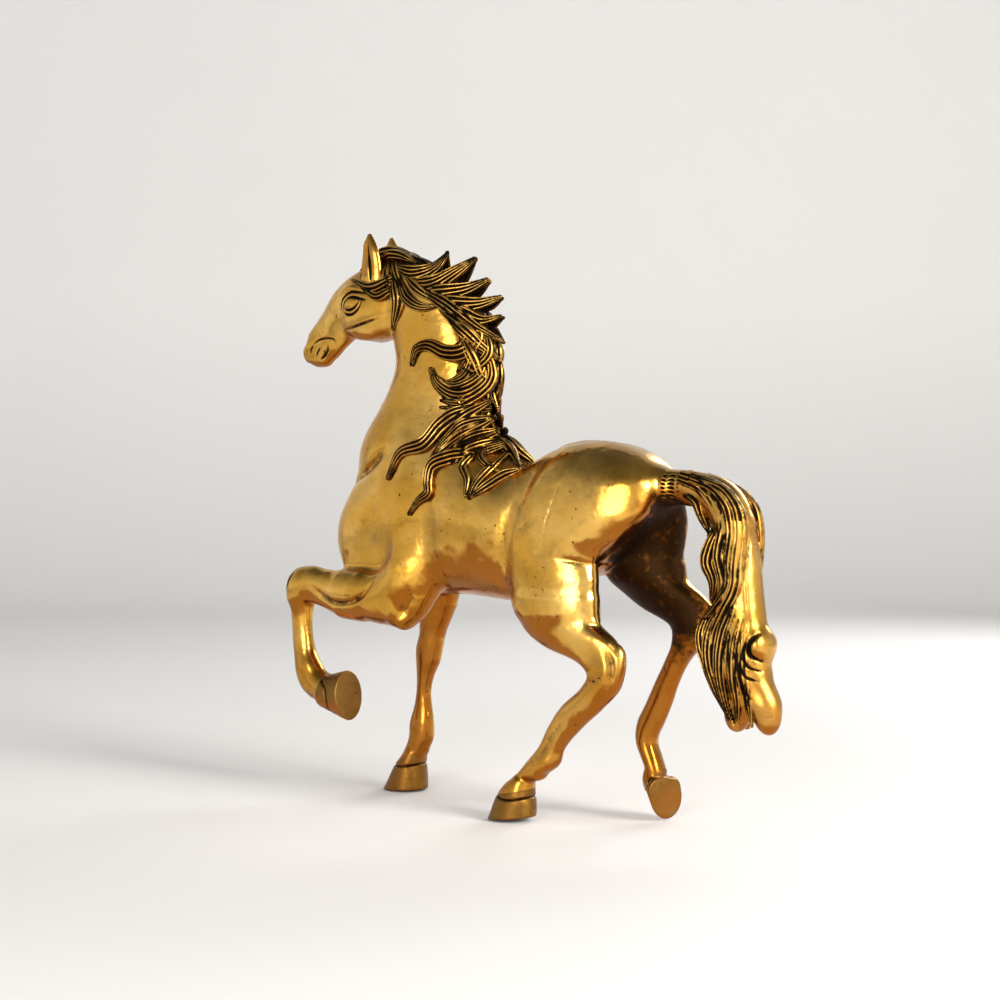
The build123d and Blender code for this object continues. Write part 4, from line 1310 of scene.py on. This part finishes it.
dock, tail = build_tail()
points, triangles, middle = cut_surface(dock, ["dock", "hair"])
mine = triangles[(middle[:, 0] > DOCK_X) & (middle[:, 0] < HAIR_X)]
add_piece("tail_dock", "polished_brass", dock, points, mine, [cuts["dock"], cuts["hair"]])
add_piece("tail_hair", "antiqued_brass", tail, *surface(tail, SMOOTHING))


# ---------------------------------------------------------------- studio

def area_light(name, place, target, size, power, colour=(1, 1, 1)):
    light = bpy.data.lights.new(name, "AREA")
    light.shape = "ELLIPSE"
    light.size, light.size_y = size
    light.energy = power
    light.color = colour
    lamp = bpy.data.objects.new(name, light)
    lamp.location = place
    lamp.rotation_euler = (Vector(target) - Vector(place)).to_track_quat("-Z", "Y").to_euler()
    bpy.context.scene.collection.objects.link(lamp)


def build_floor():
    """A pale floor that sweeps up into a backdrop behind the horse."""
    work = bmesh.new()
    profile = [(-2.6, 0.0), (1.5, 0.0)]
    for step in range(1, 13):
        angle = math.radians(7.5 * step)
        profile.append((1.5 + 0.5 * math.sin(angle), 0.5 - 0.5 * math.cos(angle)))
    profile.append((2.0, 3.2))
    away = Vector((-math.sin(CAMERA_TURN), math.cos(CAMERA_TURN), 0))
    aside = Vector((math.cos(CAMERA_TURN), math.sin(CAMERA_TURN), 0))
    rows = []
    for distance, height in profile:
        rows.append([work.verts.new(away * distance + aside * width + Vector((0, 0, height)))
                     for width in (-4, 4)])
    for first, second in zip(rows, rows[1:]):
        face = work.faces.new((first[0], first[1], second[1], second[0]))
        face.smooth = True
    mesh = bpy.data.meshes.new("floor")
    work.to_mesh(mesh)
    work.free()
    floor = bpy.data.objects.new("floor", mesh)
    bpy.context.scene.collection.objects.link(floor)
    floor.data.materials.append(plain("pale_floor", (0.87, 0.86, 0.85), 0.75))


CAMERA_TURN = math.radians(36)
CAMERA_PLACE = (0.4992, -0.7022, 0.1556)

build_floor()
right = Vector((math.cos(CAMERA_TURN), math.sin(CAMERA_TURN), 0))
front = Vector((math.sin(CAMERA_TURN), -math.cos(CAMERA_TURN), 0))
target = (0, 0, 0.15)
area_light("key", tuple(front * 1.0 + right * 1.15 + Vector((0, 0, 0.75))), target, (0.7, 0.9), 30,
           (1.0, 0.97, 0.92))
area_light("fill", tuple(front * 1.5 - right * 0.5 + Vector((0, 0, 0.45))), target, (0.9, 0.9), 13,
           (1.0, 0.98, 0.95))
area_light("back", tuple(front * -0.9 + right * 0.8 + Vector((0, 0, 0.7))), target, (0.8, 0.6), 7)

# A room that is bright at eye level and darker towards the ceiling
world = bpy.data.worlds.new("studio")
bpy.context.scene.world = world
world.use_nodes = True
tree = world.node_tree
background = tree.nodes["Background"]
direction = tree.nodes.new("ShaderNodeTexCoord")
height = tree.nodes.new("ShaderNodeSeparateXYZ")
ramp = tree.nodes.new("ShaderNodeMapRange")
ramp.inputs["From Min"].default_value = 0.1
ramp.inputs["From Max"].default_value = 0.8
ramp.inputs["To Min"].default_value = 0.95
ramp.inputs["To Max"].default_value = 0.16
tree.links.new(direction.outputs["Generated"], height.inputs[0])
tree.links.new(height.outputs["Z"], ramp.inputs["Value"])
tree.links.new(ramp.outputs["Result"], background.inputs["Strength"])
background.inputs["Color"].default_value = (0.94, 0.94, 0.93, 1)

camera = bpy.data.objects.new("camera", bpy.data.cameras.new("camera"))
camera.location = CAMERA_PLACE
camera.rotation_euler = (math.radians(90), 0, CAMERA_TURN)
camera.data.lens = 62.09
camera.data.sensor_width = 36
camera.data.clip_start = 0.01
bpy.context.scene.collection.objects.link(camera)
bpy.context.scene.camera = camera
bpy.context.scene.view_settings.view_transform = "Standard"
